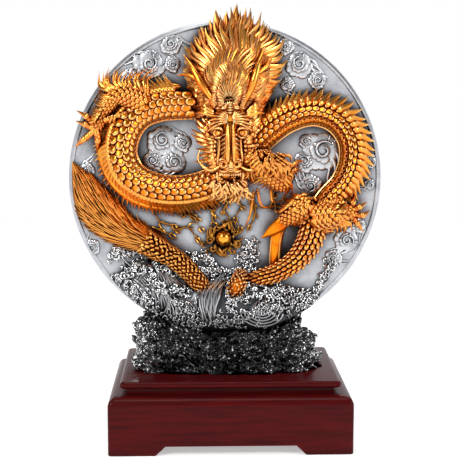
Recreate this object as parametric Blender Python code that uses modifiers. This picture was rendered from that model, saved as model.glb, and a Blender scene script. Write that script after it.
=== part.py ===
"""A dragon sculpture: a gilt dragon in high relief on a round pewter disc, which stands in a slot in a
black rock on a red lacquered wooden plinth. Metres, +Z up. The viewer stands at -Y, and the origin is the
middle of the plinth's underside."""

import math

import bmesh
import bpy
import numpy as np
from mathutils import Matrix, Vector, noise

# Plinth: a block on bracket feet, a neck, and a top board with a rounded nose. Its middle lies a little to
# the right of the disc's, which is at X = 0.
PLINTH_WIDTH = 0.167
PLINTH_DEPTH = 0.118
PLINTH_SHIFT = 0.0025
BLOCK_HEIGHT = 0.0403
SHOULDER_RADIUS = 0.0065
NECK_INSET = 0.0120
NECK_HEIGHT = 0.004
BOARD_INSET = 0.0078
BOARD_THICKNESS = 0.005
FOOT_WIDTH = 0.032
FOOT_SPLAY = 0.007
FOOT_HEIGHT = 0.0067

# Rock: the rough outer size, and how deep the disc's lowest point sits in it
ROCK_WIDTH = 0.128
ROCK_DEPTH = 0.058
ROCK_HEIGHT = 0.040
ROCK_LUMP = 0.0055
ROCK_FLOOR = 0.0240

# Disc
DISC_RADIUS = 0.110
DISC_THICKNESS = 0.008
DISC_SIDES = 60
LIP_WIDTH = 0.0022
LIP_HEIGHT = 0.0008
LIP_INSET = 0.0015

# The air between pieces that touch
CLEARANCE = 0.0003

# A joined form smaller than this volume is a crumb and is dropped
LEAST_VOLUME = 1e-11

# The reliefs are laid out on the disc in shares of its radius: across, up, proud of its face, half width.
# Across and up are as seen from a point in front of the disc, so a point that stands proud is drawn in.
EYE_ACROSS = -0.163
EYE_UP = 0.669
EYE_DISTANCE = 7.4

# The dragon's body, from the neck round both coils to the waves
BODY = (
    (-0.020, 0.440, 0.10, 0.090), (-0.160, 0.475, 0.09, 0.098), (-0.304, 0.483, 0.06, 0.103),
    (-0.433, 0.470, 0.05, 0.103), (-0.555, 0.419, 0.05, 0.103), (-0.638, 0.310, 0.05, 0.103),
    (-0.664, 0.169, 0.05, 0.099),
    (-0.612, 0.040, 0.05, 0.095), (-0.484, -0.043, 0.05, 0.094), (-0.317, -0.069, 0.05, 0.092),
    (-0.150, -0.043, 0.05, 0.092), (0.004, 0.034, 0.06, 0.090), (0.139, 0.156, 0.07, 0.088),
    (0.267, 0.291, 0.07, 0.085), (0.408, 0.387, 0.06, 0.084), (0.562, 0.426, 0.05, 0.084),
    (0.703, 0.381, 0.05, 0.083), (0.793, 0.265, 0.05, 0.080), (0.806, 0.124, 0.05, 0.077),
    (0.755, -0.017, 0.05, 0.075), (0.655, -0.133, 0.06, 0.075), (0.585, -0.261, 0.08, 0.082),
    (0.545, -0.400, 0.09, 0.078), (0.466, -0.520, 0.10, 0.063), (0.344, -0.605, 0.10, 0.053),
    (0.235, -0.640, 0.09, 0.047), (0.151, -0.670, 0.07, 0.040),
)

# Clouds: across, up, size, hand
CLOUDS = (
    (-0.423, 0.217, 0.052, 1), (-0.371, 0.090, 0.060, -1), (-0.270, 0.200, 0.044, 1),
    (0.604, 0.201, 0.064, 1), (0.480, 0.180, 0.044, -1), (0.553, 0.050, 0.050, 1),
    (-0.471, 0.734, 0.080, -1), (-0.370, 0.850, 0.050, 1), (0.479, 0.702, 0.060, 1),
    (0.590, 0.627, 0.044, -1), (-0.830, 0.080, 0.050, 1), (0.790, -0.420, 0.064, 1),
)

# Swells of the sea: across, up, half width, half height, how proud
SWELLS = (
    (-0.48, -0.68, 0.36, 0.22, 0.12), (0.02, -0.86, 0.50, 0.24, 0.19), (0.52, -0.74, 0.32, 0.24, 0.13),
    (-0.16, -0.62, 0.20, 0.17, 0.10), (0.24, -0.90, 0.20, 0.18, 0.22), (0.02, -0.54, 0.16, 0.12, 0.07),
)

# Crests that curl over on the swells: across, up, size, hand
CRESTS = (
    (-0.70, -0.56, 0.095, 1), (-0.53, -0.58, 0.095, -1), (-0.42, -0.76, 0.100, 1), (-0.20, -0.53, 0.080, 1),
    (0.12, -0.52, 0.080, -1), (0.44, -0.80, 0.100, 1), (0.62, -0.62, 0.090, 1), (-0.18, -0.93, 0.100, 1),
)

PARTS_NAME = "dragon sculpture"


def clear_scene():
    for old in list(bpy.data.objects):
        bpy.data.objects.remove(old, do_unlink=True)
    for old in list(bpy.data.collections):
        bpy.data.collections.remove(old)


def new_collection(name):
    made = bpy.data.collections.new(name)
    bpy.context.scene.collection.children.link(made)
    return made


def plinth_height():
    return BLOCK_HEIGHT + NECK_HEIGHT + BOARD_THICKNESS


def disc_centre():
    return plinth_height() + ROCK_FLOOR + DISC_RADIUS


def place(across, up, proud):
    """The point in space of a place on the relief."""
    drawn_in = proud / EYE_DISTANCE
    across += (EYE_ACROSS - across) * drawn_in
    up += (EYE_UP - up) * drawn_in
    front = -DISC_THICKNESS / 2 - proud * DISC_RADIUS
    return Vector((across * DISC_RADIUS, front, disc_centre() + up * DISC_RADIUS))


def smooth(rows, count):
    """Rows along a smooth curve through the given ones, evenly shared between them."""
    rows = np.array(rows, float)
    held = np.vstack([2 * rows[0] - rows[1], rows, 2 * rows[-1] - rows[-2]])
    found = []
    for step in np.linspace(0, len(rows) - 1, count):
        i = min(int(step), len(rows) - 2)
        t = step - i
        a, b, c, d = held[i : i + 4]
        bend = (2 * a - 5 * b + 4 * c - d) * t * t + (3 * b - a - 3 * c + d) * t**3
        found.append(b + 0.5 * ((c - a) * t + bend))
    return np.array(found)


def mesh_object(bm, name="shape"):
    mesh = bpy.data.meshes.new(name)
    bm.to_mesh(mesh)
    bm.free()
    return bpy.data.objects.new(name, mesh)


def tube(rows, sides=6, grow=0.0):
    """A round bar of changing thickness through rows of across, up, proud and radius."""
    curve = bpy.data.curves.new("tube", "CURVE")
    curve.dimensions = "3D"
    curve.bevel_depth = 1.0
    curve.bevel_resolution = sides // 2 - 2
    curve.use_fill_caps = True
    line = curve.splines.new("POLY")
    line.points.add(len(rows) - 1)
    spots = [place(*row[:3]) for row in rows]
    spots[0] += grow * (spots[0] - spots[1]).normalized()
    spots[-1] += grow * (spots[-1] - spots[-2]).normalized()
    for point, spot, row in zip(line.points, spots, rows):
        point.co = (*spot, 1)
        point.radius = row[3] * DISC_RADIUS + grow
    bent = bpy.data.objects.new("tube", curve)
    bpy.context.scene.collection.objects.link(bent)
    graph = bpy.context.evaluated_depsgraph_get()
    mesh = bpy.data.meshes.new_from_object(bent.evaluated_get(graph))
    bm = bmesh.new()
    bm.from_mesh(mesh)
    bmesh.ops.remove_doubles(bm, verts=bm.verts, dist=1e-5)
    bmesh.ops.recalc_face_normals(bm, faces=bm.faces)
    made = mesh_object(bm)
    made.matrix_world = bent.matrix_world
    bpy.data.objects.remove(bent)
    bpy.data.meshes.remove(mesh)
    return made


def blob(across, up, proud, wide, tall, deep, turn=0.0, segments=10, grow=0.0):
    """An egg shape on the relief, given by its half sizes and turned in the disc's plane."""
    bm = bmesh.new()
    bmesh.ops.create_uvsphere(bm, u_segments=segments, v_segments=segments * 2 // 3, radius=1.0)
    sizes = [share * DISC_RADIUS + grow for share in (wide, deep, tall)]
    shape = Matrix.Diagonal((*sizes, 1.0))
    turned = Matrix.Rotation(math.radians(turn), 4, "Y")
    moved = Matrix.Translation(place(across, up, proud)) @ turned @ shape
    bmesh.ops.transform(bm, matrix=moved, verts=bm.verts)
    return mesh_object(bm)


def block(low, high):
    """A plain box between two corners."""
    low, high = Vector(low), Vector(high)
    bm = bmesh.new()
    size = Matrix.Diagonal((*(high - low), 1.0))
    bmesh.ops.create_cube(bm, size=1.0, matrix=Matrix.Translation((low + high) / 2) @ size)
    return mesh_object(bm)


def carve(shape, operation, others):
    """The shape after one exact Boolean with a list of others, as a new object. Its inputs are removed."""
    scene_objects = bpy.context.scene.collection.objects
    scene_objects.link(shape)
    helpers = bpy.data.collections.new("helpers")
    for other in others:
        helpers.objects.link(other)
    bpy.context.scene.collection.children.link(helpers)
    change = shape.modifiers.new("change", "BOOLEAN")
    change.operation = operation
    change.operand_type = "COLLECTION"
    change.collection = helpers
    change.solver = "EXACT"
    change.use_self = True
    graph = bpy.context.evaluated_depsgraph_get()
    mesh = bpy.data.meshes.new_from_object(shape.evaluated_get(graph))
    for used in [shape, *others]:
        bpy.data.objects.remove(used)
    bpy.data.collections.remove(helpers)
    return bpy.data.objects.new("shape", mesh)


def fill_bubbles(shape):
    """Removes the inner walls of any air that the joined forms have shut in, and crumbs too small to cast."""
    bm = bmesh.new()
    bm.from_mesh(shape.data)
    bmesh.ops.triangulate(bm, faces=bm.faces)
    left = set(bm.faces)
    bubbles = []
    while left:
        island = {left.pop()}
        waiting = list(island)
        while waiting:
            face = waiting.pop()
            near = {other for edge in face.edges for other in edge.link_faces} - island
            island |= near
            waiting += near
        left -= island
        volume = sum(face.calc_center_median().dot(face.normal) * face.calc_area() for face in island) / 3
        if volume < LEAST_VOLUME:
            bubbles += island
    bmesh.ops.delete(bm, geom=bubbles, context="FACES")
    bm.to_mesh(shape.data)
    bm.free()
    return shape


def finish(shape, name, parts, colour, roughness, metallic, sharp_degrees=35):
    """Names a piece, gives it its material and shades its round faces smooth."""
    material = bpy.data.materials.new(name)
    material.use_nodes = True
    shader = material.node_tree.nodes["Principled BSDF"]
    shader.inputs["Base Color"].default_value = (*colour, 1)
    shader.inputs["Roughness"].default_value = roughness
    shader.inputs["Metallic"].default_value = metallic
    fill_bubbles(shape)
    shape.name = name
    shape.data.name = name
    shape.data.materials.clear()
    shape.data.materials.append(material)
    shape.data.shade_smooth()
    shape.data.set_sharp_from_angle(angle=math.radians(sharp_degrees))
    parts.objects.link(shape)
    return shape


def half_round(radius, steps, start, end):
    """Offsets round an arc, as pairs of out and up, from one angle to another in degrees."""
    angles = np.radians(np.linspace(start, end, steps + 1))
    return [(radius * math.cos(a), radius * math.sin(a)) for a in angles]


def plinth_outline():
    """Pairs of inset and height up the plinth's side, from the ground to the middle of its top."""
    shoulder_foot = BLOCK_HEIGHT - SHOULDER_RADIUS
    rows = [(0.0, 0.0)]
    for out, rise in half_round(SHOULDER_RADIUS, 5, 0, 90):
        rows.append((SHOULDER_RADIUS - out, shoulder_foot + rise))
    neck_top = BLOCK_HEIGHT + NECK_HEIGHT
    rows += [(NECK_INSET, BLOCK_HEIGHT), (NECK_INSET, neck_top)]
    nose = BOARD_THICKNESS / 2
    for out, rise in half_round(nose, 6, -90, 90):
        rows.append((BOARD_INSET + nose - out, neck_top + nose + rise))
    return rows


def make_plinth(parts, cutters):
    bm = bmesh.new()
    bmesh.ops.create_grid(bm, x_segments=1, y_segments=1, size=0.5)
    for vert in bm.verts:
        vert.co = (math.copysign(PLINTH_WIDTH / 2, vert.co.x), math.copysign(PLINTH_DEPTH / 2, vert.co.y), 0)
    top = list(bm.faces)
    for step, (inset, height) in enumerate(plinth_outline()[1:]):
        risen = bmesh.ops.extrude_face_region(bm, geom=top)
        if step:
            bmesh.ops.delete(bm, geom=top, context="FACES_ONLY")
        top = [item for item in risen["geom"] if isinstance(item, bmesh.types.BMFace)]
        for vert in top[0].verts:
            vert.co.x = math.copysign(PLINTH_WIDTH / 2 - inset, vert.co.x)
            vert.co.y = math.copysign(PLINTH_DEPTH / 2 - inset, vert.co.y)
            vert.co.z = height
    bmesh.ops.recalc_face_normals(bm, faces=bm.faces)
    bmesh.ops.translate(bm, vec=(PLINTH_SHIFT, 0, 0), verts=bm.verts)
    plinth = mesh_object(bm)
    arches = (("front arch", PLINTH_WIDTH, PLINTH_DEPTH), ("side arch", PLINTH_DEPTH, PLINTH_WIDTH))
    for name, across, along in arches:
        cutter = make_arch(name, across, along)
        if name == "side arch":
            cutter.rotation_euler.z = math.pi / 2
        cutter.location.x = PLINTH_SHIFT
        cutters.objects.link(cutter)
        cut = plinth.modifiers.new(name, "BOOLEAN")
        cut.operation = "DIFFERENCE"
        cut.solver = "EXACT"
        cut.object = cutter
    return finish(plinth, "plinth", parts, (0.12, 0.012, 0.014), 0.12, 0.0)


def make_arch(name, across, along):
    """The cutter that leaves a foot at each end of a face, with a sloping inner side."""
    half_foot_gap = across / 2 - FOOT_WIDTH
    past = 0.005
    bm = bmesh.new()
    bmesh.ops.create_cube(bm, size=2.0)
    slope = FOOT_SPLAY / FOOT_HEIGHT
    for vert in bm.verts:
        height = FOOT_HEIGHT if vert.co.z > 0 else -past
        vert.co.x = math.copysign(half_foot_gap - slope * height, vert.co.x)
        vert.co.y = math.copysign(along / 2 + past, vert.co.y)
        vert.co.z = height
    cutter = mesh_object(bm, name)
    cutter.display_type = "WIRE"
    cutter.hide_render = True
    return cutter


def make_rock(grow=0.0):
    """The rock before its slot is cut: a squared-off ball, lumpy all over, cut flat on the plinth. Grown, it
    is the room that the castings round it leave."""
    floor = plinth_height() + CLEARANCE
    bm = bmesh.new()
    bmesh.ops.create_uvsphere(bm, u_segments=28, v_segments=14, radius=1.0)
    half = (ROCK_WIDTH / 2, ROCK_DEPTH / 2, ROCK_HEIGHT)
    for vert in bm.verts:
        unit = vert.co.copy()
        squared = Vector([math.copysign(abs(value) ** 0.55, value) for value in unit])
        outer = Vector([value * size for value, size in zip(squared, half)])
        dip = 0.72 + 0.38 * min(1.0, abs(unit.x) * 1.35) ** 2
        outer.z *= dip
        lump = noise.fractal(unit * 3.1 + Vector((4.0, 1.0, 7.0)), 0.9, 2.1, 3)
        vert.co = outer + unit * ROCK_LUMP * (lump * 1.5 - 0.4)
        vert.co.z += floor
    bmesh.ops.recalc_face_normals(bm, faces=bm.faces)
    if grow:
        bm.normal_update()
        for vert, normal in [(vert, vert.normal.copy()) for vert in bm.verts]:
            vert.co += normal * grow
    rock = mesh_object(bm)
    reach = ROCK_WIDTH
    ground = block((-reach, -reach, floor - 2 * ROCK_HEIGHT), (reach, reach, floor - grow))
    return carve(rock, "DIFFERENCE", [ground])


def disc_blank(grow=0.0, plain=False):
    """The disc with its lip, turned from a profile and stood on edge. Grown and plain, it is its own slot."""
    half = DISC_THICKNESS / 2 + grow
    edge = DISC_RADIUS + grow
    front = half + LIP_HEIGHT
    lip_out = edge - LIP_INSET
    lip_in = lip_out - LIP_WIDTH - 2 * grow
    profile = [(0, half), (lip_in, half), (lip_in + LIP_HEIGHT, front), (lip_out, front)]
    profile.append((edge, half - LIP_INSET))
    if plain:
        profile = [(0, front), (edge, front)]
    profile += [(edge, -half), (0, -half)]
    bm = bmesh.new()
    points = [bm.verts.new((x, 0, z)) for x, z in profile]
    for a, b in zip(points, points[1:]):
        bm.edges.new((a, b))
    turned = mesh_object(bm)
    bpy.context.scene.collection.objects.link(turned)
    screw = turned.modifiers.new("turn", "SCREW")
    screw.steps = DISC_SIDES
    screw.render_steps = DISC_SIDES
    screw.use_merge_vertices = True
    screw.merge_threshold = 0.00001
    graph = bpy.context.evaluated_depsgraph_get()
    mesh = bpy.data.meshes.new_from_object(turned.evaluated_get(graph))
    bpy.data.objects.remove(turned)
    bm = bmesh.new()
    bm.from_mesh(mesh)
    bmesh.ops.dissolve_limit(bm, angle_limit=0.001, verts=bm.verts, edges=bm.edges)
    stand = Matrix.Translation((0, 0, disc_centre())) @ Matrix.Rotation(math.pi / 2, 4, "X")
    bmesh.ops.transform(bm, matrix=stand, verts=bm.verts)
    bmesh.ops.recalc_face_normals(bm, faces=bm.faces)
    return mesh_object(bm)


def curl(across, up, size, hand, turns=1.3, proud=0.0, thick=0.20, points=11, start=0.0):
    """Rows along a spiral that winds in from its outside to its eye."""
    rows = []
    for share in np.linspace(0, 1, points):
        angle = start + hand * share * turns * math.tau
        reach = size * (1 - 0.82 * share)
        risen = proud + 0.3 * size * share
        rows.append((across + reach * math.cos(angle), up + reach * math.sin(angle), risen,
                     size * thick * (1 - 0.35 * share)))
    return rows


def cloud_shapes(grow=0.0):
    """Clouds: each a curl in low relief that winds in to its eye."""
    curls = [curl(across, up, size, hand, 1.1, 0.004, 0.26, 7) for across, up, size, hand in CLOUDS]
    return [tube(rows, 4, grow) for rows in curls]


def sea_height(across, up):
    """How proud the swells stand at a place."""
    rise = 0.0
    for x, z, wide, tall, deep in SWELLS:
        inside = 1 - ((across - x) / wide) ** 2 - ((up - z) / tall) ** 2
        rise = max(rise, deep * math.sqrt(max(0.0, inside)))
    return rise


def sea_shapes(grow=0.0):
    """The sea at the disc's foot: broad swells, then a crest on each, curling over at its tip."""
    shapes = [blob(x, z, 0.0, wide, tall, deep, 0, 10, grow) for x, z, wide, tall, deep in SWELLS]
    for x, z, size, hand in CRESTS:
        rows = curl(x, z, size, hand, 0.9, 0.0, 0.32, 7, math.pi / 2)
        rows = [(a, b, sea_height(a, b) + c, radius) for a, b, c, radius in rows]
        shapes.append(tube(rows, 4, grow))
    for ring in (0.070, 0.125):
        rows = []
        for angle in np.linspace(math.radians(15), math.radians(165), 7):
            across, up = 0.238 + ring * math.cos(angle), -0.905 + ring * math.sin(angle)
            rows.append((across, up, 0.19 - ring * 0.5, 0.020))
        shapes.append(tube(rows, 4, grow))
    return shapes


def spine_point(path, share, side, out):
    """A place beside the path, out from its middle by a share of its thickness, and the way out from it."""
    spot = share * (len(path) - 1)
    i = min(int(spot), len(path) - 2)
    t = spot - i
    here = path[i] * (1 - t) + path[i + 1] * t
    ahead = path[i + 1][:2] - path[i][:2]
    ahead /= np.linalg.norm(ahead)
    away = side * np.array((-ahead[1], ahead[0]))
    return here, ahead, away, here[:2] + away * here[3] * out


def body_shapes(grow=0.0):
    return [tube(smooth(BODY, 40), 8, grow)]


def fin_shapes():
    """Flame fins along the outer edge of both coils, each leaning back along the body."""
    path = smooth(BODY, 160)
    shapes = []
    for first, last, count, side in ((0.14, 0.42, 8, -1), (0.46, 0.80, 11, 1)):
        for share in np.linspace(first, last, count):
            here, ahead, away, root = spine_point(path, share, side, 0.70)
            lean = away * 0.105 + ahead * 0.055
            tip = root + lean
            middle = root + lean * 0.5 - ahead * 0.012
            rows = ((*root, here[2] + 0.02, 0.036), (*middle, here[2] + 0.02, 0.024),
                    (*tip, here[2] - 0.005, 0.004))
            shapes.append(tube(rows, 4))
    return shapes


def limb(rows, count, sides=6, grow=0.0):
    return tube(smooth(rows, count), sides, grow)


def leg_shapes():
    """Arms and legs with their ribbed toes, claws and the tufts of flame hair at the joints."""
    limbs = (
        ((-0.50, 0.47, 0.10, 0.070), (-0.638, 0.535, 0.12, 0.055), (-0.709, 0.522, 0.11, 0.042),
         (-0.779, 0.419, 0.09, 0.036), (-0.837, 0.316, 0.07, 0.034)),
        ((0.126, 0.137, 0.13, 0.070), (0.235, 0.073, 0.15, 0.066), (0.325, -0.004, 0.13, 0.050),
         (0.383, -0.056, 0.10, 0.022)),
        ((0.55, -0.16, 0.12, 0.080), (0.466, -0.210, 0.12, 0.060), (0.357, -0.274, 0.11, 0.046),
         (0.286, -0.338, 0.08, 0.032), (0.228, -0.383, 0.05, 0.010)),
        ((0.376, -0.262, 0.08, 0.040), (0.331, -0.358, 0.06, 0.034), (0.318, -0.467, 0.05, 0.030),
         (0.318, -0.582, 0.06, 0.028)),
        ((0.56, -0.25, 0.13, 0.080), (0.671, -0.236, 0.14, 0.068), (0.748, -0.223, 0.12, 0.050),
         (0.825, -0.216, 0.08, 0.034)),
    )
    shapes = [limb(rows, 6, 6) for rows in limbs]
    toes = (
        ((-0.825, 0.320), (-0.888, 0.350), (-0.953, 0.375)),
        ((-0.830, 0.315), (-0.901, 0.255), (-0.960, 0.205)),
        ((-0.825, 0.325), (-0.812, 0.246), (-0.822, 0.165)),
        ((0.800, -0.212), (0.864, -0.184), (0.915, -0.145)),
        ((0.793, -0.225), (0.851, -0.287), (0.893, -0.345)),
        ((0.793, -0.215), (0.822, -0.159), (0.828, -0.095)),
        ((0.310, 0.010), (0.365, -0.010), (0.402, 0.020)),
        ((0.350, -0.030), (0.395, -0.080), (0.385, -0.130)),
        ((0.290, -0.010), (0.320, -0.090), (0.300, -0.155)),
    )
    for root, joint, tip in toes:
        rows = ((*root, 0.075, 0.030), (*joint, 0.085, 0.028), (*tip, 0.035, 0.010))
        shapes.append(tube(rows, 4))
    tufts = (
        ((-0.63, 0.57), ((-0.632, 0.753), (-0.700, 0.727), (-0.752, 0.650), (-0.585, 0.690))),
        ((0.27, 0.03), ((0.10, -0.01), (0.18, -0.10), (0.41, 0.08))),
        ((0.40, -0.22), ((0.25, -0.22), (0.33, -0.36))),
        ((0.66, -0.25), ((0.72, -0.38),)),
    )
    for root, tips in tufts:
        for across, up in tips:
            middle = (root[0] * 0.45 + across * 0.55, root[1] * 0.45 + up * 0.55)
            rows = ((*root, 0.10, 0.040), (*middle, 0.09, 0.030), (across, up, 0.03, 0.006))
            shapes.append(tube(rows, 4))
    return shapes


def mane_reach(angle):
    """How far the mane reaches from the crown, by the angle from straight up towards the right."""
    angles = (-112, -70, -47, -37, -15, 0, 16, 37, 48, 59, 72, 92, 121)
    reaches = (0.25, 0.27, 0.38, 0.44, 0.54, 0.61, 0.59, 0.535, 0.46, 0.39, 0.31, 0.24, 0.18)
    return float(np.interp(angle, angles, reaches))


def mane_shapes():
    """A fan of flame locks round the crown in two rows, the front row shorter and prouder."""
    crown = (0.023, 0.500)
    shapes = [
        blob(0.060, 0.73, 0.02, 0.26, 0.29, 0.09, 8, 8),
        blob(0.035, 0.55, 0.04, 0.22, 0.20, 0.16, 0, 8),
    ]
    for count, reach, low, wide, bend in ((15, 1.0, 0.05, 0.066, 9), (7, 0.72, 0.11, 0.058, -7)):
        for i in range(count):
            angle = -112 + 233 * i / (count - 1)
            length = mane_reach(angle) * reach * (0.93 if i % 2 else 1.0)
            rows = []
            for share in (0.25, 0.55, 0.80, 1.0):
                turn = math.radians(angle + bend * math.sin(math.tau * share * 0.8))
                height = low + 0.13 * (1 - share) + 0.03 * math.sin(math.pi * share)
                across = crown[0] + length * share * math.sin(turn)
                up = crown[1] + length * share * math.cos(turn)
                rows.append((across, up, height, wide * min(1.0, 2.6 * (1.04 - share))))
            shapes.append(tube(rows, 4))
    return shapes


def head_shapes():
    """The head looks down and out of the disc: skull, long muzzle, brows, eyes, nostrils, jaw and horns."""
    shapes = [
        blob(0.023, 0.40, 0.17, 0.125, 0.145, 0.13, 0, 8),
        blob(0.036, 0.115, 0.20, 0.075, 0.085, 0.085, 0, 8),
        limb(((0.023, 0.36, 0.24, 0.085), (0.026, 0.25, 0.25, 0.066), (0.034, 0.15, 0.24, 0.062),
              (0.038, 0.06, 0.20, 0.050)), 5, 8),
        blob(0.030, 0.20, 0.10, 0.105, 0.17, 0.10, 0, 8),
    ]
    middle = 0.028
    for side in (-1, 1):
        shapes.append(blob(middle + side * 0.062, 0.335, 0.265, 0.030, 0.026, 0.026, 0, 6))
        shapes.append(blob(middle + side * 0.040, 0.088, 0.262, 0.026, 0.022, 0.022, 0, 6))
        shapes.append(blob(middle + side * 0.110, 0.325, 0.190, 0.034, 0.040, 0.040, 0, 6))
        brow = ((middle + side * 0.015, 0.370, 0.290, 0.020), (middle + side * 0.070, 0.400, 0.285, 0.024),
                (middle + side * 0.150, 0.430, 0.225, 0.012))
        shapes.append(tube(brow, 6))
        whisker = ((middle + side * 0.030, 0.100, 0.225, 0.016), (middle + side * 0.140, 0.050, 0.215, 0.012),
                   (middle + side * 0.210, 0.110, 0.190, 0.010), (middle + side * 0.250, 0.200, 0.160, 0.004))
        fang = ((middle + side * 0.040, 0.080, 0.225, 0.014), (middle + side * 0.040, -0.005, 0.205, 0.004))
        shapes.append(limb(whisker, 5, 4))
        shapes.append(tube(fang, 4))
    antlers = (
        ((-0.060, 0.470, 0.20, 0.030), (-0.163, 0.599, 0.20, 0.026), (-0.253, 0.727, 0.16, 0.022),
         (-0.356, 0.843, 0.09, 0.008)),
        ((-0.200, 0.650, 0.19, 0.020), (-0.279, 0.689, 0.15, 0.016), (-0.368, 0.680, 0.10, 0.006)),
        ((0.110, 0.470, 0.22, 0.030), (0.171, 0.599, 0.23, 0.026), (0.209, 0.727, 0.20, 0.022),
         (0.261, 0.856, 0.14, 0.008)),
        ((0.190, 0.660, 0.22, 0.020), (0.262, 0.720, 0.18, 0.014), (0.300, 0.780, 0.14, 0.006)),
    )
    for rows in antlers:
        shapes.append(limb(rows, 5, 4))
    return shapes


def flame_shapes():
    """Thin flames that run from under the chin to the pearl, and the branches to its left."""
    wisps = (
        ((-0.06, -0.09), (-0.05, -0.20), (0.02, -0.29), (-0.075, -0.37)),
        ((0.05, 0.03), (0.08, -0.13), (0.03, -0.24), (0.055, -0.36)),
        ((-0.17, -0.11), (-0.13, -0.24), (-0.10, -0.34), (-0.05, -0.455)),
        ((0.11, 0.03), (0.16, -0.12), (0.155, -0.25), (0.10, -0.33)),
        ((-0.42, -0.11), (-0.36, -0.22), (-0.25, -0.29), (-0.15, -0.40)),
    )
    shapes = []
    for wisp in wisps:
        rows = [(*spot, 0.018, radius) for spot, radius in zip(wisp, (0.022, 0.017, 0.015, 0.006))]
        shapes.append(limb(rows, 5, 4))
    return shapes


def tail_shapes(grow=0.0):
    """The tail's scaly stem, and the plume that fans from it in long locks."""
    stem = ((-0.100, -0.800, 0.10, 0.036), (-0.158, -0.691, 0.12, 0.052), (-0.227, -0.604, 0.11, 0.058),
            (-0.317, -0.522, 0.09, 0.060), (-0.420, -0.456, 0.08, 0.064), (-0.520, -0.400, 0.06, 0.070))
    shapes = [limb(stem, 8, 8, grow)]
    shapes.append(limb(((-0.45, -0.43, 0.04, 0.09), (-0.63, -0.30, 0.03, 0.12), (-0.80, -0.13, 0.02, 0.11),
                        (-0.93, 0.02, 0.01, 0.045)), 5, 8, grow))
    tips = ((-0.978, 0.105), (-0.986, -0.010), (-0.985, -0.110), (-0.965, -0.215), (-0.900, -0.320),
            (-0.780, -0.400), (-0.660, -0.450))
    for number, (across, up) in enumerate(tips):
        share = number / (len(tips) - 1)
        root = (-0.47 + 0.03 * share, -0.37 - 0.09 * share)
        middle = ((root[0] + across) / 2 + 0.03 * (1 - share), (root[1] + up) / 2 + 0.02 - 0.04 * share)
        rows = ((*root, 0.09, 0.034), (*middle, 0.10, 0.036), (across, up, 0.04, 0.008))
        shapes.append(limb(rows, 5, 4, grow))
    return shapes


def hump_shapes(grow=0.0):
    """The short arch of the body that shows between two waves."""
    arch = ((0.055, -0.790, 0.13, 0.040), (0.066, -0.715, 0.17, 0.046), (0.092, -0.655, 0.14, 0.042),
            (0.100, -0.610, 0.08, 0.030))
    return [limb(arch, 7, 8, grow)]


def pearl_shapes(grow=0.0):
    return [blob(-0.012, -0.383, 0.053, 0.050, 0.050, 0.050, 0, 12, grow)]


def relief_room():
    """The round room in front of the disc that its relief keeps to, reaching a little into the disc."""
    bm = bmesh.new()
    deep = DISC_RADIUS / 2
    root = DISC_THICKNESS / 4
    middle = Vector((0, -DISC_THICKNESS / 2 + root - deep / 2, disc_centre()))
    stand = Matrix.Translation(middle) @ Matrix.Rotation(math.pi / 2, 4, "X")
    radius = DISC_RADIUS - LIP_INSET - LIP_WIDTH / 2
    bmesh.ops.create_cone(bm, cap_ends=True, segments=DISC_SIDES, radius1=radius, radius2=radius, depth=deep,
                          matrix=stand)
    return mesh_object(bm)


def back_room():
    """All that lies behind the plane on which the castings are set."""
    reach = 3 * DISC_RADIUS
    front = -DISC_THICKNESS / 2 - CLEARANCE
    return block((-reach, front, -reach), (reach, reach, disc_centre() + reach))


def joined(shapes):
    return carve(shapes[0], "UNION", shapes[1:])


def main():
    clear_scene()
    parts = new_collection(PARTS_NAME)
    cutters = new_collection(PARTS_NAME + " cutters")
    make_plinth(parts, cutters)

    rock = carve(make_rock(), "DIFFERENCE", [disc_blank(CLEARANCE, plain=True)])
    finish(rock, "rock_base", parts, (0.01, 0.01, 0.012), 0.25, 0.0)

    gilt = (0.80, 0.42, 0.09)
    makers = (
        ("pearl", (pearl_shapes,)), ("dragon_hump", (hump_shapes,)), ("dragon_tail", (tail_shapes,)),
        ("dragon", (body_shapes, fin_shapes, leg_shapes, mane_shapes, head_shapes, flame_shapes)),
    )
    behind = [cloud_shapes, sea_shapes]
    for name, shapers in makers:
        shapes = [shape for make in shapers for shape in make()]
        whole = joined(shapes) if len(shapes) > 1 else shapes[0]
        room = [back_room(), disc_blank(CLEARANCE)] + [shape for make in behind for shape in make(CLEARANCE)]
        finish(carve(whole, "DIFFERENCE", room), name, parts, gilt, 0.28, 1.0)
        behind.append(shapers[0])

    relief = joined(cloud_shapes() + sea_shapes())
    relief = carve(relief, "INTERSECT", [relief_room()])
    relief = carve(relief, "DIFFERENCE", [make_rock(CLEARANCE)])
    disc = joined([disc_blank(), relief])
    finish(disc, "disc", parts, (0.55, 0.56, 0.57), 0.38, 1.0)


main()
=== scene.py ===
import math
import random

import bmesh
import bpy
import numpy as np
from mathutils import Matrix, Vector, noise


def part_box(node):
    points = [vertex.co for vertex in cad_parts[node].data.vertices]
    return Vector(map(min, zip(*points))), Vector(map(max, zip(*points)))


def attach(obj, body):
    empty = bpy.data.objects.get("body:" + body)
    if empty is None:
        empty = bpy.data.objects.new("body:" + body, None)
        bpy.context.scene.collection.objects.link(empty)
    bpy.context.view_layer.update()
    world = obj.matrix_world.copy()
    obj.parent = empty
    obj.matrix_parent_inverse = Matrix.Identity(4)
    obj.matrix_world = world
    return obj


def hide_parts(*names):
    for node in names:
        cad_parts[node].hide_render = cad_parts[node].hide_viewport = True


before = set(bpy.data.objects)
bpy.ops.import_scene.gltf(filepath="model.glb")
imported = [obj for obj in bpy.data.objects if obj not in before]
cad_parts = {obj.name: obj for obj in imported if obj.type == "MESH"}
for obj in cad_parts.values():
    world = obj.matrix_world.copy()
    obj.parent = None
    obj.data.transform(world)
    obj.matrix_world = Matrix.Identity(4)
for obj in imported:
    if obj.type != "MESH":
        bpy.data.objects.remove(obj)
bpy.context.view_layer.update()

scene = bpy.context.scene

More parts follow.
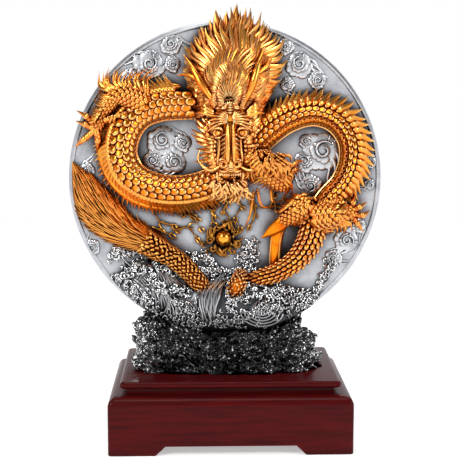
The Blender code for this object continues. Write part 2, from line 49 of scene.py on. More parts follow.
# The reliefs are laid out on the disc in shares of its radius: across, up, proud of its face, half width.
# Across and up are as seen from a point in front of the disc, so a spot that stands proud is drawn in.
# Low relief stays within the reach, which is a share of the radius too.
reliefPlan = {"thickness": 0.008, "eyeAcross": -0.163, "eyeUp": 0.669, "eyeDistance": 7.4,
              "reach": 0.972}

discLow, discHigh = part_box("disc")
discRadius = (discHigh[0] - discLow[0]) / 2
discCentre = discHigh[2] - discRadius
discFront = discHigh[1] - reliefPlan["thickness"]
mm = 0.001


def place(spots):
    across, up, proud = np.asarray(spots, float).T
    drawnIn = proud / reliefPlan["eyeDistance"]
    across = across + (reliefPlan["eyeAcross"] - across) * drawnIn
    up = up + (reliefPlan["eyeUp"] - up) * drawnIn
    return np.column_stack((across * discRadius, discFront - proud * discRadius,
                            discCentre + up * discRadius))


def smoothRows(rows, count):  # rows along a smooth curve through the given ones
    rows = np.array(rows, float)
    held = np.vstack([2 * rows[0] - rows[1], rows, 2 * rows[-1] - rows[-2]])
    steps = np.linspace(0, len(rows) - 1, count)
    first = np.minimum(steps.astype(int), len(rows) - 2)
    t = (steps - first)[:, None]
    a, b, c, d = held[first], held[first + 1], held[first + 2], held[first + 3]
    bend = (2 * a - 5 * b + 4 * c - d) * t * t + (3 * b - a - 3 * c + d) * t ** 3
    return b + 0.5 * ((c - a) * t + bend)


def frames(line):  # the way ahead, the way to its right, and the way out of the relief
    ahead = np.gradient(line[:, :3], axis=0)
    ahead /= np.linalg.norm(ahead, axis=1)[:, None] + 1e-12
    side = np.cross(ahead, (0.0, 0.0, 1.0))
    side /= np.linalg.norm(side, axis=1)[:, None] + 1e-12
    return ahead, side, np.cross(side, ahead)


ballMoulds = {}


def ballMould(rings, around):  # a ball that strands, scales and domes are moved into shape from
    if (rings, around) not in ballMoulds:
        bm = bmesh.new()
        bmesh.ops.create_uvsphere(bm, u_segments=around, v_segments=rings, radius=1.0)
        mould = bpy.data.meshes.new("ball mould")
        bm.to_mesh(mould)
        bm.free()
        spots = np.empty(len(mould.vertices) * 3)
        mould.vertices.foreach_get("co", spots)
        ballMoulds[rings, around] = (mould, spots.reshape(-1, 3))
    return ballMoulds[rings, around]


def addMoved(whole, mould, spots):
    mould.vertices.foreach_set("co", np.ascontiguousarray(spots, float).ravel())
    whole.from_mesh(mould)


def strand(whole, rows, rings=14, around=8, flat=0.8, ridges=0, groove=0.0, ends=0.4):
    mould, unit = ballMould(rings, around)
    line = smoothRows(rows, rings + 1)
    _, side, out = frames(line)
    row = np.rint(np.arccos(np.clip(unit[:, 2], -1, 1)) / np.pi * rings).astype(int)
    turn = np.arctan2(unit[:, 1], unit[:, 0])
    half = line[row, 3] * np.sin(np.pi * row / rings) ** ends
    half = half * (1 + groove * np.cos(ridges * turn))
    spots = line[row, :3] + side[row] * (half * np.cos(turn))[:, None]
    addMoved(whole, mould, spots + out[row] * (half * flat * np.sin(turn))[:, None])


# a ball, dented or flat on top
def dome(whole, centre, sizes, axes=None, rings=8, around=12, dent=0.0, steep=1.0):
    mould, unit = ballMould(rings, around)
    unit = unit.copy()
    unit[:, 2] = np.sign(unit[:, 2]) * np.abs(unit[:, 2]) ** steep
    if dent:
        inside = np.exp(-(unit[:, 0] ** 2 + unit[:, 1] ** 2) / 0.26)
        unit[:, 2] *= 1 - dent * inside * (unit[:, 2] > 0)
    axes = np.eye(3) if axes is None else np.array(axes, float)
    addMoved(whole, mould, np.array(centre, float) + (unit * np.array(sizes, float)) @ axes)


def turnedAxes(degrees):  # axes turned in the disc's plane
    c, s = math.cos(math.radians(degrees)), math.sin(math.radians(degrees))
    return ((c, s, 0), (-s, c, 0), (0, 0, 1))


def smoothShade(mesh, sharpDegrees):
    mesh.shade_smooth()
    mesh.set_sharp_from_angle(angle=math.radians(sharpDegrees))


def addObject(bm, name):
    mesh = bpy.data.meshes.new(name)
    bm.to_mesh(mesh)
    bm.free()
    added = bpy.data.objects.new(name, mesh)
    scene.collection.objects.link(added)
    return added


def finishPiece(bm, name, material, node, onRelief=True, sharpDegrees=50, withinDisc=False):
    piece = addObject(bm, name)
    mesh = piece.data
    if onRelief:
        spots = np.empty(len(mesh.vertices) * 3)
        mesh.vertices.foreach_get("co", spots)
        spots = place(spots.reshape(-1, 3))
        if withinDisc:  # what would pass the lip stops at it
            flat = spots[:, (0, 2)] - (0, discCentre)
            reach = np.linalg.norm(flat, axis=1)
            held = np.minimum(1, reliefPlan["reach"] * discRadius / np.maximum(reach, 1e-9))
            spots[:, 0], spots[:, 2] = flat[:, 0] * held, discCentre + flat[:, 1] * held
        spots[:, 1] = np.minimum(spots[:, 1], discHigh[1] - mm)
        mesh.vertices.foreach_set("co", spots.ravel())
    mesh.update()
    smoothShade(mesh, sharpDegrees)
    mesh.materials.append(material)
    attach(piece, "root")
    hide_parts(node)
    print(name, len(mesh.polygons), "faces")
    return piece


def colour(code):  # a hex colour in sRGB, as the linear light that a shader wants
    parts = [int(code[i:i + 2], 16) / 255 for i in (1, 3, 5)]
    return (*(p / 12.92 if p <= 0.04045 else ((p + 0.055) / 1.055) ** 2.4 for p in parts), 1.0)


def addNode(tree, kind, settings=None, values=None, links=None):
    node = tree.nodes.new("ShaderNode" + kind)
    for key, value in (settings or {}).items():
        setattr(node, key, value)
    for key, value in (values or {}).items():
        node.inputs[key].default_value = value
    for key, (source, output) in (links or {}).items():
        tree.links.new(source.outputs[output], node.inputs[key])
    return node


def newMaterial(name):
    material = bpy.data.materials.new(name)
    material.use_nodes = True
    tree = material.node_tree
    return material, tree, tree.nodes["Principled BSDF"]


def castMetal(name, tones, roughness, hollow, grain=1.2, grainDepth=0.25, foot=None):
    # Cast metal with a wash of dark patina that was wiped off the high places, with painted shade laid over
    # it in the hollows and a painted highlight on the sharp edges. The tones run from the bright edges over
    # the open faces and the slopes to the hollows, so the relief is drawn in dark lines.
    material, tree, shader = newMaterial(name)
    bright, body, patch, slope, deep = (colour(code) for code in tones)
    reach, start, end = hollow
    coords = addNode(tree, "TexCoord")
    patches = addNode(tree, "TexNoise", values={"Scale": 1 / (9 * mm), "Detail": 3.0, "Roughness": 0.6},
                      links={"Vector": (coords, "Object")})
    spread = addNode(tree, "MapRange", values={"From Min": 0.42, "From Max": 0.66},
                     links={"Value": (patches, "Fac")})
    base = addNode(tree, "Mix", {"data_type": "RGBA"}, {6: body, 7: patch}, {0: (spread, "Result")})
    geometry = addNode(tree, "NewGeometry")  # sharp edges are painted bright: a painted highlight, over gilding that is also worn there
    edge = addNode(tree, "MapRange", values={"From Min": 0.53, "From Max": 0.66},
                   links={"Value": (geometry, "Pointiness")})
    lit = addNode(tree, "Mix", {"data_type": "RGBA"}, {7: bright}, {0: (edge, "Result"), 6: (base, 2)})
    # sheltered places keep the patina wash and are darkened further as painted shade: first the slopes, then
    # the hollows
    shelter = addNode(tree, "AmbientOcclusion", {"samples": 8}, {"Distance": reach * mm})
    depth = addNode(tree, "MapRange", values={"From Min": start, "From Max": end},
                    links={"Value": (shelter, "AO")})
    sloped = addNode(tree, "MapRange", values={"From Min": 0.40, "From Max": 0.95},
                     links={"Value": (depth, "Result")})
    sunk = addNode(tree, "MapRange", values={"From Max": 0.50}, links={"Value": (depth, "Result")})
    washedAndShaded = addNode(tree, "Mix", {"data_type": "RGBA"}, {6: slope}, {0: (sloped, "Result"), 7: (lit, 2)})
    shadedAndStained = addNode(tree, "Mix", {"data_type": "RGBA"}, {6: deep}, {0: (sunk, "Result"), 7: (washedAndShaded, 2)})
    if foot:  # the black rises from the rock
        axes = addNode(tree, "SeparateXYZ", links={"Vector": (coords, "Object")})
        risen = addNode(tree, "MapRange", values={"From Min": foot[0], "From Max": foot[1], "To Min": 0.10},
                        links={"Value": (axes, "Z")})
        shadedAndStained = addNode(tree, "Mix", {"data_type": "RGBA"}, {6: deep},
                          {0: (risen, "Result"), 7: (shadedAndStained, 2)})
    # dull in the hollows, glossy on the high places
    gloss = addNode(tree, "MapRange", values={"To Min": 0.60, "To Max": roughness},
                    links={"Value": (depth, "Result")})
    crumb = addNode(tree, "TexNoise", values={"Scale": 1 / (grain * mm), "Detail": 4.0, "Roughness": 0.55},
                    links={"Vector": (coords, "Object")})
    bump = addNode(tree, "Bump", values={"Strength": grainDepth, "Distance": 0.25 * mm},
                   links={"Height": (crumb, "Fac")})
    tree.links.new(shadedAndStained.outputs[2], shader.inputs["Base Color"])
    tree.links.new(gloss.outputs["Result"], shader.inputs["Roughness"])
    tree.links.new(bump.outputs["Normal"], shader.inputs["Normal"])
    shader.inputs["Metallic"].default_value = 1.0
    return material


# rosewood under many coats of clear red lacquer: deep colour, mirror gloss, faint long grain
def lacquerMaterial():
    material, tree, shader = newMaterial("red lacquered rosewood")
    coords = addNode(tree, "TexCoord")
    stretch = addNode(tree, "Mapping", values={"Scale": (0.08, 1.0, 1.0)},
                      links={"Vector": (coords, "Object")})
    grain = addNode(tree, "TexNoise", values={"Scale": 1 / (3 * mm), "Detail": 5.0, "Roughness": 0.6},
                    links={"Vector": (stretch, "Vector")})
    streak = addNode(tree, "MapRange", values={"From Min": 0.35, "From Max": 0.70},
                     links={"Value": (grain, "Fac")})
    tone = addNode(tree, "Mix", {"data_type": "RGBA"}, {6: colour("#360607"), 7: colour("#50090B")},
                   {0: (streak, "Result")})
    ripple = addNode(tree, "TexNoise", values={"Scale": 1 / (22 * mm), "Detail": 2.0},
                     links={"Vector": (coords, "Object")})
    bump = addNode(tree, "Bump", values={"Strength": 0.06, "Distance": 0.5 * mm},
                   links={"Height": (ripple, "Fac")})
    tree.links.new(tone.outputs[2], shader.inputs["Base Color"])
    tree.links.new(bump.outputs["Normal"], shader.inputs["Coat Normal"])
    shader.inputs["Roughness"].default_value = 0.38
    shader.inputs["Specular IOR Level"].default_value = 0.04
    shader.inputs["Coat Weight"].default_value = 0.40
    shader.inputs["Coat IOR"].default_value = 1.22
    shader.inputs["Coat Roughness"].default_value = 0.04
    return material


# cast metal blacked all over, glossy, with silver rubbed through on crumbs, most at both ends
def rockMaterial():
    material, tree, shader = newMaterial("black patina with rubbed silver")
    coords = addNode(tree, "TexCoord")
    crumbs = addNode(tree, "TexNoise", values={"Scale": 1 / (1.7 * mm), "Detail": 4.0, "Roughness": 0.65},
                     links={"Vector": (coords, "Object")})
    axes = addNode(tree, "SeparateXYZ", links={"Vector": (coords, "Object")})
    sideways = addNode(tree, "Math", {"operation": "ABSOLUTE"}, links={0: (axes, "X")})
    ends = addNode(tree, "MapRange", values={"From Min": 42 * mm, "From Max": 66 * mm, "To Max": 0.09},
                   links={"Value": (sideways, 0)})
    risen = addNode(tree, "Math", {"operation": "ADD"}, links={0: (crumbs, "Fac"), 1: (ends, "Result")})
    silver = addNode(tree, "MapRange", values={"From Min": 0.60, "From Max": 0.635},
                     links={"Value": (risen, 0)})
    tone = addNode(tree, "Mix", {"data_type": "RGBA"}, {6: colour("#040405"), 7: colour("#F0F1F2")},
                   {0: (silver, "Result")})
    gloss = addNode(tree, "MapRange", values={"From Min": 0.3, "From Max": 0.7, "To Min": 0.08,
                                              "To Max": 0.30},
                    links={"Value": (crumbs, "Fac")})
    bump = addNode(tree, "Bump", values={"Strength": 0.7, "Distance": 0.8 * mm},
                   links={"Height": (crumbs, "Fac")})
    tree.links.new(tone.outputs[2], shader.inputs["Base Color"])
    shader.inputs["Specular IOR Level"].default_value = 0.30
    tree.links.new(silver.outputs["Result"], shader.inputs["Metallic"])
    tree.links.new(gloss.outputs["Result"], shader.inputs["Roughness"])
    tree.links.new(bump.outputs["Normal"], shader.inputs["Normal"])
    return material


def floorMaterial():  # matt white paper: faint mottling, no gloss
    material, tree, shader = newMaterial("white studio paper")
    coords = addNode(tree, "TexCoord")
    mottle = addNode(tree, "TexNoise", values={"Scale": 6.0, "Detail": 3.0},
                     links={"Vector": (coords, "Object")})
    tone = addNode(tree, "Mix", {"data_type": "RGBA"}, {6: colour("#F4F4F4"), 7: colour("#FBFBFA")},
                   {0: (mottle, "Fac")})
    tree.links.new(tone.outputs[2], shader.inputs["Base Color"])
    shader.inputs["Roughness"].default_value = 0.75
    shader.inputs["Specular IOR Level"].default_value = 0.2
    shader.inputs["Emission Color"].default_value = colour("#FFFFFF")
    shader.inputs["Emission Strength"].default_value = 0.42
    return material


plinthPlan = {
    # sizes in metres, from the foot up; insets are measured in from the block's sides
    "blockHeight": 0.0403, "shoulder": 0.0065, "neckInset": 0.0120, "neckHeight": 0.004, "boardInset": 0.0078,
    "boardThickness": 0.005, "footWidth": 0.032, "footSplay": 0.007, "footHeight": 0.0067, "corner": 0.0022,
    "eased": 0.0006, "pastEdge": 0.005,
}


def arcPairs(radius, steps, start, end):
    angles = np.radians(np.linspace(start, end, steps + 1))
    return [(radius * math.cos(a), radius * math.sin(a)) for a in angles]


def makePlinth(material):
    plan = plinthPlan
    low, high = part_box("plinth")
    halfWide, halfDeep = (high[0] - low[0]) / 2, (high[1] - low[1]) / 2
    middle = (high[0] + low[0]) / 2
    shoulderFoot = plan["blockHeight"] - plan["shoulder"]
    outline = [(plan["eased"], 0.0), (0.0, plan["eased"]), (0.0, shoulderFoot * 0.5)]
    outline += [(plan["shoulder"] - out, shoulderFoot + rise)
                for out, rise in arcPairs(plan["shoulder"], 10, 0, 90)]
    neckTop = plan["blockHeight"] + plan["neckHeight"]
    outline += [(plan["neckInset"], plan["blockHeight"]), (plan["neckInset"], neckTop)]
    nose = plan["boardThickness"] / 2
    outline += [(plan["boardInset"] + nose - out, neckTop + nose + rise)
                for out, rise in arcPairs(nose, 12, -90, 90)]
    bm = bmesh.new()
    bmesh.ops.create_grid(bm, x_segments=1, y_segments=1, size=0.5)
    bmesh.ops.bevel(bm, geom=bm.verts[:], affect="VERTICES", offset=plan["corner"] / halfWide / 2, segments=5,
                    profile=0.5, material=-1)
    for vert in bm.verts:  # bevelled corners become quarter rounds of the right size
        x, y = vert.co.x * 2, vert.co.y * 2
        vert.co = (x * halfWide, y * halfDeep, 0)
        vert.co.y = math.copysign(halfDeep - (1 - abs(y)) * halfWide, y)
    top = bm.faces[:]
    start = [vert.co.copy() for vert in top[0].verts]
    for step, (inset, height) in enumerate(outline):
        if step:
            risen = bmesh.ops.extrude_face_region(bm, geom=top)
            if step > 1:
                bmesh.ops.delete(bm, geom=top, context="FACES_ONLY")
            top = [item for item in risen["geom"] if isinstance(item, bmesh.types.BMFace)]
        for vert, at in zip(top[0].verts, start):
            x = math.copysign(max(abs(at.x) - inset, 0), at.x)
            y = math.copysign(max(abs(at.y) - inset, 0), at.y)
            vert.co = (x, y, height)
    bmesh.ops.translate(bm, vec=(middle, 0, 0), verts=bm.verts)
    bmesh.ops.recalc_face_normals(bm, faces=bm.faces)
    piece = finishPiece(bm, "plinth_lacquered", material, "plinth", onRelief=False,
                        sharpDegrees=35)
    for name, across, along in (("front arch", halfWide, halfDeep), ("side arch", halfDeep, halfWide)):
        cutter = archCutter(name, across, along, middle)
        cut = piece.modifiers.new(name, "BOOLEAN")
        cut.operation = "DIFFERENCE"
        cut.solver = "EXACT"
        cut.object = cutter
        applyModifiers(piece)
        bpy.data.objects.remove(cutter)
    smoothShade(piece.data, 35)
    return piece


def archCutter(name, halfAcross, halfAlong, middle):
    plan = plinthPlan
    past = plan["pastEdge"]
    slope = plan["footSplay"] / plan["footHeight"]
    bm = bmesh.new()
    bmesh.ops.create_cube(bm, size=2.0)
    for vert in bm.verts:
        height = plan["footHeight"] if vert.co.z > 0 else -past
        vert.co.x = math.copysign(halfAcross - plan["footWidth"] - slope * height, vert.co.x)
        vert.co.y = math.copysign(halfAlong + past, vert.co.y)
        vert.co.z = height
    if name == "side arch":
        bmesh.ops.rotate(bm, verts=bm.verts, cent=(0, 0, 0), matrix=Matrix.Rotation(math.pi / 2, 3, "Z"))
    bmesh.ops.translate(bm, vec=(middle, 0, 0), verts=bm.verts)
    return addObject(bm, name)


def applyModifiers(piece):
    graph = bpy.context.evaluated_depsgraph_get()
    mesh = bpy.data.meshes.new_from_object(piece.evaluated_get(graph))
    old = piece.data
    piece.modifiers.clear()
    piece.data = mesh
    bpy.data.meshes.remove(old)


rockPlan = {
    "cuts": (160, 72, 60), "buried": 0.25, "lump": 0.0055, "square": 3.6, "height": 0.040, "width": 0.128,
    "depth": 0.058,
    # how far the crumbs are sunk, how wild the lumps are, how far they are drawn in
    "lumps": (0.0028, 1.5, 0.4),
    "saddle": (0.72, 0.38, 1.35),  # the middle's height, what both ends add, how soon they rise
    "shoulder": (0.78, 0.45),  # where the right shoulder starts to fall, and how far it falls
    # size of the crumbs, how far they stand out
    "crumbs": ((0.0130, 0.0042), (0.0058, 0.0021), (0.0027, 0.0010)),
}


def makeRock(material):
    plan = rockPlan
    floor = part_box("rock_base")[0][2]
    half = (plan["width"] / 2, plan["depth"] / 2, plan["height"])
    start, fall = plan["shoulder"]
    sunk, wild, shift = plan["lumps"]
    least, more, soon = plan["saddle"]
    bm = bmesh.new()
    bmesh.ops.create_cube(bm, size=2.0)
    for axis, cuts in enumerate(plan["cuts"]):
        edges = [edge for edge in bm.edges if abs(edge.verts[0].co[axis] - edge.verts[1].co[axis]) > 0.001]
        bmesh.ops.subdivide_edges(bm, edges=edges, cuts=cuts)
    for vert in bm.verts:
        vert.co.z = (vert.co.z - plan["buried"]) / (1 + plan["buried"])
    for vert in bm.verts:
        unit = vert.co.normalized()
        swollen = sum(abs(value) ** plan["square"] for value in vert.co) ** (1 / plan["square"])
        outer = Vector([value / swollen * size for value, size in zip(vert.co, half)])
        outer.z *= least + more * min(1.0, abs(unit.x) * soon) ** 2
        outer.z *= 1 - fall * (max(0.0, outer.x / half[0] - start) / (1 - start)) ** 2
        lump = noise.fractal(unit * 3.1 + Vector((4.0, 1.0, 7.0)), 0.9, 2.1, 3)
        spot = outer + unit * plan["lump"] * (lump * wild - shift)
        away = Vector((spot.x / half[0] ** 2, spot.y / half[1] ** 2,
                       max(spot.z, 0) / half[2] ** 2)).normalized()
        risen = -sunk
        for size, height in plan["crumbs"]:  # round crumbs, cracked apart
            near = noise.voronoi(spot / size + Vector((3.0, 9.0, 2.0)))[0]
            risen += height * (1 - near[0] ** 2) * min(1.0, (near[1] - near[0]) * 5)
        spot += away * risen
        vert.co = (spot.x, spot.y, max(spot.z, 0.0) + floor)
    bmesh.ops.recalc_face_normals(bm, faces=bm.faces)
    return finishPiece(bm, "rock_casting", material, "rock_base", onRelief=False,
                       sharpDegrees=80)


discPlan = {
    "lipWidth": 0.0022, "lipHeight": 0.0008, "lipInset": 0.0015, "soft": 0.0008, "steps": 192,
    # a turned line on the back: how far in from the edge, how deep
    "groove": ((0.003, 0), (0.0035, 0.0004), (0.0045, 0.0004), (0.005, 0)),
}


def makeDisc(material):
    plan = discPlan
    half = reliefPlan["thickness"] / 2
    edge = discRadius
    lipOut = edge - plan["lipInset"]
    lipIn = lipOut - plan["lipWidth"]
    soft = plan["soft"]
    profile = [(r * lipIn, half) for r in np.linspace(0, 1, 14)]
    profile += [(lipIn + 0.0004, half + plan["lipHeight"] * 0.7), (lipIn + 0.0009, half + plan["lipHeight"]),
                (lipOut - 0.0006, half + plan["lipHeight"]), (lipOut, half + plan["lipHeight"] * 0.5),
                (lipOut + 0.0003, half - 0.0002), (edge - 0.0003, half - 0.0008),
                (edge, half - plan["lipInset"]), (edge, -half + soft),
                (edge - soft * 0.3, -half + soft * 0.3), (edge - soft, -half)]
    profile += [(edge - inset, -half + deep) for inset, deep in plan["groove"]]
    profile += [(r * (edge - 0.006), -half) for r in np.linspace(1, 0, 14)]
    bm = bmesh.new()
    points = [bm.verts.new((x, 0, z)) for x, z in profile]
    lines = [bm.edges.new(pair) for pair in zip(points, points[1:])]
    bmesh.ops.spin(bm, geom=points + lines, axis=(0, 0, 1), cent=(0, 0, 0), angle=math.tau,
                   steps=plan["steps"], use_merge=True, use_duplicate=False)
    bmesh.ops.remove_doubles(bm, verts=bm.verts, dist=1e-6)
    middle = discHigh[1] - half
    stand = Matrix.Translation((0, middle, discCentre)) @ Matrix.Rotation(math.pi / 2, 4, "X")
    bmesh.ops.transform(bm, matrix=stand, verts=bm.verts)
    bmesh.ops.recalc_face_normals(bm, faces=bm.faces)
    return finishPiece(bm, "disc_turned", material, "disc", onRelief=False, sharpDegrees=30)


cloudPlan = {
    # across, up, size, hand, the way its smooth back faces in degrees
    "curls": (
        (-0.400, 0.255, 0.100, 1, 60), (-0.465, 0.120, 0.075, -1, 200), (-0.325, 0.110, 0.088, 1, 320),
        (-0.265, 0.235, 0.060, -1, 20), (0.630, 0.185, 0.130, 1, 30), (0.505, 0.115, 0.075, -1, 160),
        (0.515, 0.245, 0.050, 1, 120), (0.545, -0.045, 0.075, 1, 250), (-0.480, 0.735, 0.100, -1, 70),
        (-0.345, 0.860, 0.070, 1, 100), (-0.620, 0.640, 0.060, 1, 150), (-0.330, 0.730, 0.055, -1, 20),
        (0.470, 0.735, 0.090, 1, 80), (0.590, 0.630, 0.062, -1, 30), (0.380, 0.845, 0.056, 1, 110),
        (0.390, 0.600, 0.050, -1, 200), (-0.890, 0.060, 0.055, 1, 170), (-0.830, -0.035, 0.040, -1, 260),
        (0.790, -0.400, 0.085, 1, 320), (0.700, -0.515, 0.058, -1, 240), (0.868, -0.300, 0.050, 1, 20),
        (0.940, 0.110, 0.044, -1, 10), (0.930, -0.040, 0.040, 1, 300), (-0.865, -0.440, 0.056, 1, 200),
    ),
    # rings of scallops from the outside in: how far out, how big, how proud, how many
    "rings": ((0.72, 0.36, 0.012, 7), (0.40, 0.27, 0.020, 5)),
    "cores": ((0.92, 0.015), (0.50, 0.022)),  # smooth rounds within each ring: how big, how proud
    "roll": (0.50, 1.25, 0.085),  # the rolled line on top: how far out, how many turns, how thick
    "ribbonReach": 2.3,  # how far the bands of mist trail, as a share of the curl's size
}


def spiral(across, up, size, hand, turns, proud, width, start, points=14, rise=0.2):
    rows = []
    for share in np.linspace(0, 1, points):
        angle = math.radians(start) + hand * share * turns * math.tau
        reach = size * (1 - 0.80 * share)
        rows.append((across + reach * math.cos(angle), up + reach * math.sin(angle),
                     proud + rise * size * share,
                     width * (1 - 0.30 * share)))
    return rows


def makeClouds(material):
    plan = cloudPlan
    bm = bmesh.new()
    for across, up, size, hand, facing in plan["curls"]:
        for (out, lobe, proud, count), (core, coreProud) in zip(plan["rings"], plan["cores"]):
            back = math.radians(facing)
            shift = size * 0.16 * (1 - core)
            middle = (across - shift * math.cos(back), up - shift * math.sin(back), -0.01)
            for number in range(count):  # scallops round the side away from the smooth back
                turn = back + math.radians(180 + hand * (number - (count - 1) / 2) * (190 / count))
                spot = (middle[0] + size * out * math.cos(turn), middle[1] + size * out * math.sin(turn),
                        -0.01)
                grown = size * lobe * (1 + 0.22 * math.sin(number * 2.3 + facing))
                dome(bm, spot, (grown, grown, proud + 0.01), None, 8, 14, 0.0, 0.5)
            dome(bm, middle, (size * core, size * core * 0.94, coreProud + 0.01), turnedAxes(facing), 10, 22,
                 0.0, 0.5)
        reach, turns, thick = plan["roll"]
        rows = spiral(across, up, size * reach, hand, turns, 0.022, size * thick, facing, 14, 0.10)
        strand(bm, rows, 26, 8, 1.0)
        for line in range(3):  # lines that run over the smooth back
            turn = math.radians(facing + 26 * (line - 1))
            rows = [(across + size * reach * math.cos(turn + 0.25 * hand * reach),
                     up + size * reach * math.sin(turn + 0.25 * hand * reach), proud, size * 0.030)
                    for reach, proud in ((0.50, 0.026), (0.66, 0.021), (0.80, 0.017), (0.92, 0.004))]
            strand(bm, rows, 8, 6, 1.0)
        ahead = math.radians(facing - hand * 100)
        for ribbon in range(3):  # bands of mist that trail side by side from the curl
            shift = (ribbon - 1) * 0.36
            reach = plan["ribbonReach"] * (1.0 - 0.22 * abs(ribbon - 1))
            rows = []
            for s in (0, 0.25, 0.5, 0.75, 1.0):
                sway = shift * (1 - 0.6 * s) + 0.30 * math.sin(s * 4.5) * hand
                rows.append((across + size * (math.cos(ahead) * reach * s - math.sin(ahead) * sway),
                             up + size * (math.sin(ahead) * reach * s + math.cos(ahead) * sway),
                             0.002, size * 0.17 * (1 - 0.75 * s)))
            strand(bm, rows, 14, 8, 0.7)
    return finishPiece(bm, "cloud_relief", material, "disc", withinDisc=True)


seaPlan = {
    # swells: across, up, half width, half height, how proud
    "swells": (
        (-0.44, -0.71, 0.29, 0.19, 0.12), (0.02, -0.86, 0.46, 0.24, 0.19), (0.42, -0.87, 0.26, 0.15, 0.13),
        (-0.17, -0.63, 0.15, 0.14, 0.09), (0.24, -0.90, 0.20, 0.18, 0.22),
    ),
    # crest lines that foam runs along: across, up
    "foamLines": (
        ((-0.728, -0.531), (-0.715, -0.467), (-0.651, -0.479), (-0.561, -0.467), (-0.484, -0.505),
         (-0.420, -0.563), (-0.343, -0.595), (-0.266, -0.627)),
        ((-0.651, -0.621), (-0.587, -0.582), (-0.510, -0.608), (-0.445, -0.672), (-0.381, -0.723),
         (-0.304, -0.711), (-0.227, -0.749)),
        ((-0.705, -0.610), (-0.660, -0.680), (-0.590, -0.745), (-0.515, -0.810), (-0.450, -0.860)),
        ((-0.234, -0.621), (-0.227, -0.544), (-0.189, -0.486), (-0.125, -0.505), (-0.099, -0.569),
         (-0.137, -0.621)),
        ((0.074, -0.544), (0.119, -0.479), (0.171, -0.409), (0.184, -0.492), (0.145, -0.569),
         (0.094, -0.621)),
        ((-0.086, -0.608), (-0.022, -0.589), (0.055, -0.601), (0.107, -0.634)),
        ((0.710, -0.531), (0.671, -0.582), (0.633, -0.659), (0.594, -0.736), (0.549, -0.807),
         (0.498, -0.852)),
        ((0.235, -0.749), (0.299, -0.775), (0.363, -0.749), (0.427, -0.723), (0.479, -0.749),
         (0.517, -0.800)),
        ((-0.073, -0.916), (0.017, -0.929), (0.119, -0.903), (0.196, -0.865), (0.261, -0.839),
         (0.325, -0.832), (0.415, -0.865)),
        ((-0.317, -0.813), (-0.266, -0.852), (-0.202, -0.890), (-0.227, -0.954), (-0.163, -0.980)),
    ),
    # flows: the line they leave, the line they reach, how many, how much they bend, half width, lift
    "flows": (
        (((-0.70, -0.50), (-0.56, -0.49), (-0.42, -0.58), (-0.27, -0.64)),
         ((-0.68, -0.70), (-0.55, -0.66), (-0.38, -0.76), (-0.24, -0.78)), 39, 0.05, 0.0062, 0.003),
        (((-0.66, -0.64), (-0.51, -0.62), (-0.38, -0.74), (-0.23, -0.77)),
         ((-0.58, -0.82), (-0.46, -0.88), (-0.33, -0.93), (-0.20, -0.96)), 36, 0.05, 0.0062, 0.003),
        (((-0.055, -0.605), (-0.020, -0.600), (0.015, -0.600), (0.050, -0.610)),
         ((-0.150, -0.930), (-0.120, -0.935), (-0.090, -0.940), (-0.060, -0.940)), 18, -0.05, 0.0088, 0.024),
        (((0.20, -0.72), (0.32, -0.76), (0.42, -0.73), (0.50, -0.78)),
         ((0.14, -0.90), (0.24, -0.84), (0.36, -0.85), (0.46, -0.90)), 27, 0.04, 0.0062, 0.003),
        (((0.66, -0.56), (0.62, -0.64), (0.56, -0.72), (0.50, -0.78)),
         ((0.69, -0.60), (0.65, -0.68), (0.59, -0.77), (0.53, -0.84)), 21, 0.02, 0.0062, 0.003),
        (((-0.20, -0.52), (-0.16, -0.56), (-0.12, -0.62), (-0.10, -0.66)),
         ((-0.24, -0.68), (-0.20, -0.76), (-0.17, -0.83), (-0.14, -0.90)), 18, 0.03, 0.0062, 0.003),
        (((0.10, -0.52), (0.13, -0.56), (0.12, -0.64), (0.10, -0.70)),
         ((0.18, -0.56), (0.20, -0.64), (0.18, -0.72), (0.14, -0.80)), 18, -0.03, 0.0062, 0.003),
    ),
    "foamPitch": 0.0062, "foamSpread": 0.015,
    # each foam curl is drawn between these: size, height above the swell, turns, thickness
    "foamSize": (0.009, 0.018), "foamLift": (0.004, 0.014), "foamTurns": (0.55, 0.95),
    "foamThick": (0.0034, 0.0050),
    # froth strewn over a patch: left, low, right, high, how many
    "froth": (
        (-0.20, -0.60, -0.08, -0.50, 13), (-0.60, -0.56, -0.42, -0.50, 16), (-0.42, -0.97, 0.36, -0.86, 105),
        (0.00, -0.80, 0.24, -0.66, 43), (0.22, -0.86, 0.56, -0.70, 55), (-0.40, -0.86, -0.14, -0.72, 24),
        (-0.10, -0.66, 0.10, -0.58, 31), (0.10, -0.62, 0.20, -0.42, 24), (-0.62, -0.84, -0.42, -0.70, 37),
        (-0.28, -0.70, -0.12, -0.56, 24), (0.00, -0.76, 0.12, -0.60, 37), (0.46, -0.86, 0.60, -0.72, 37),
        (0.01, -0.87, 0.12, -0.70, 55), (0.10, -0.76, 0.40, -0.66, 43),
    ),
    "arcs": {"across": 0.238, "up": -0.862, "radii": (0.036, 0.062, 0.088, 0.114, 0.140), "squat": 0.72},
}


def seaHeight(across, up):
    rise = 0.0
    for x, z, wide, tall, deep in seaPlan["swells"]:
        inside = 1 - ((across - x) / wide) ** 2 - ((up - z) / tall) ** 2
        rise = max(rise, deep * math.sqrt(max(0.0, inside)))
    return rise


def onSea(rows, lift):  # rows of across, up and half width, laid on the swells
    return [(a, b, seaHeight(a, b) + lift, w) for a, b, w in rows]


def makeSeaGround(material):
    bm = bmesh.new()
    for x, z, wide, tall, deep in seaPlan["swells"]:
        dome(bm, (x, z, 0.0), (wide, tall, deep), rings=26, around=52)
    return finishPiece(bm, "sea_swells", material, "disc", withinDisc=True)


def foamCurl(bm, dice, across, up, grown):
    size = dice.uniform(*seaPlan["foamSize"]) * grown
    lift = seaHeight(across, up) + dice.uniform(*seaPlan["foamLift"])
    turns = dice.uniform(*seaPlan["foamTurns"])
    hand = dice.choice((-1, 1))
    thick = dice.uniform(*seaPlan["foamThick"]) * grown
    rows = spiral(across, up, size, hand, turns, lift, thick, dice.uniform(0, 360), 8, 0.5 * grown)
    strand(bm, rows, 10, 5)


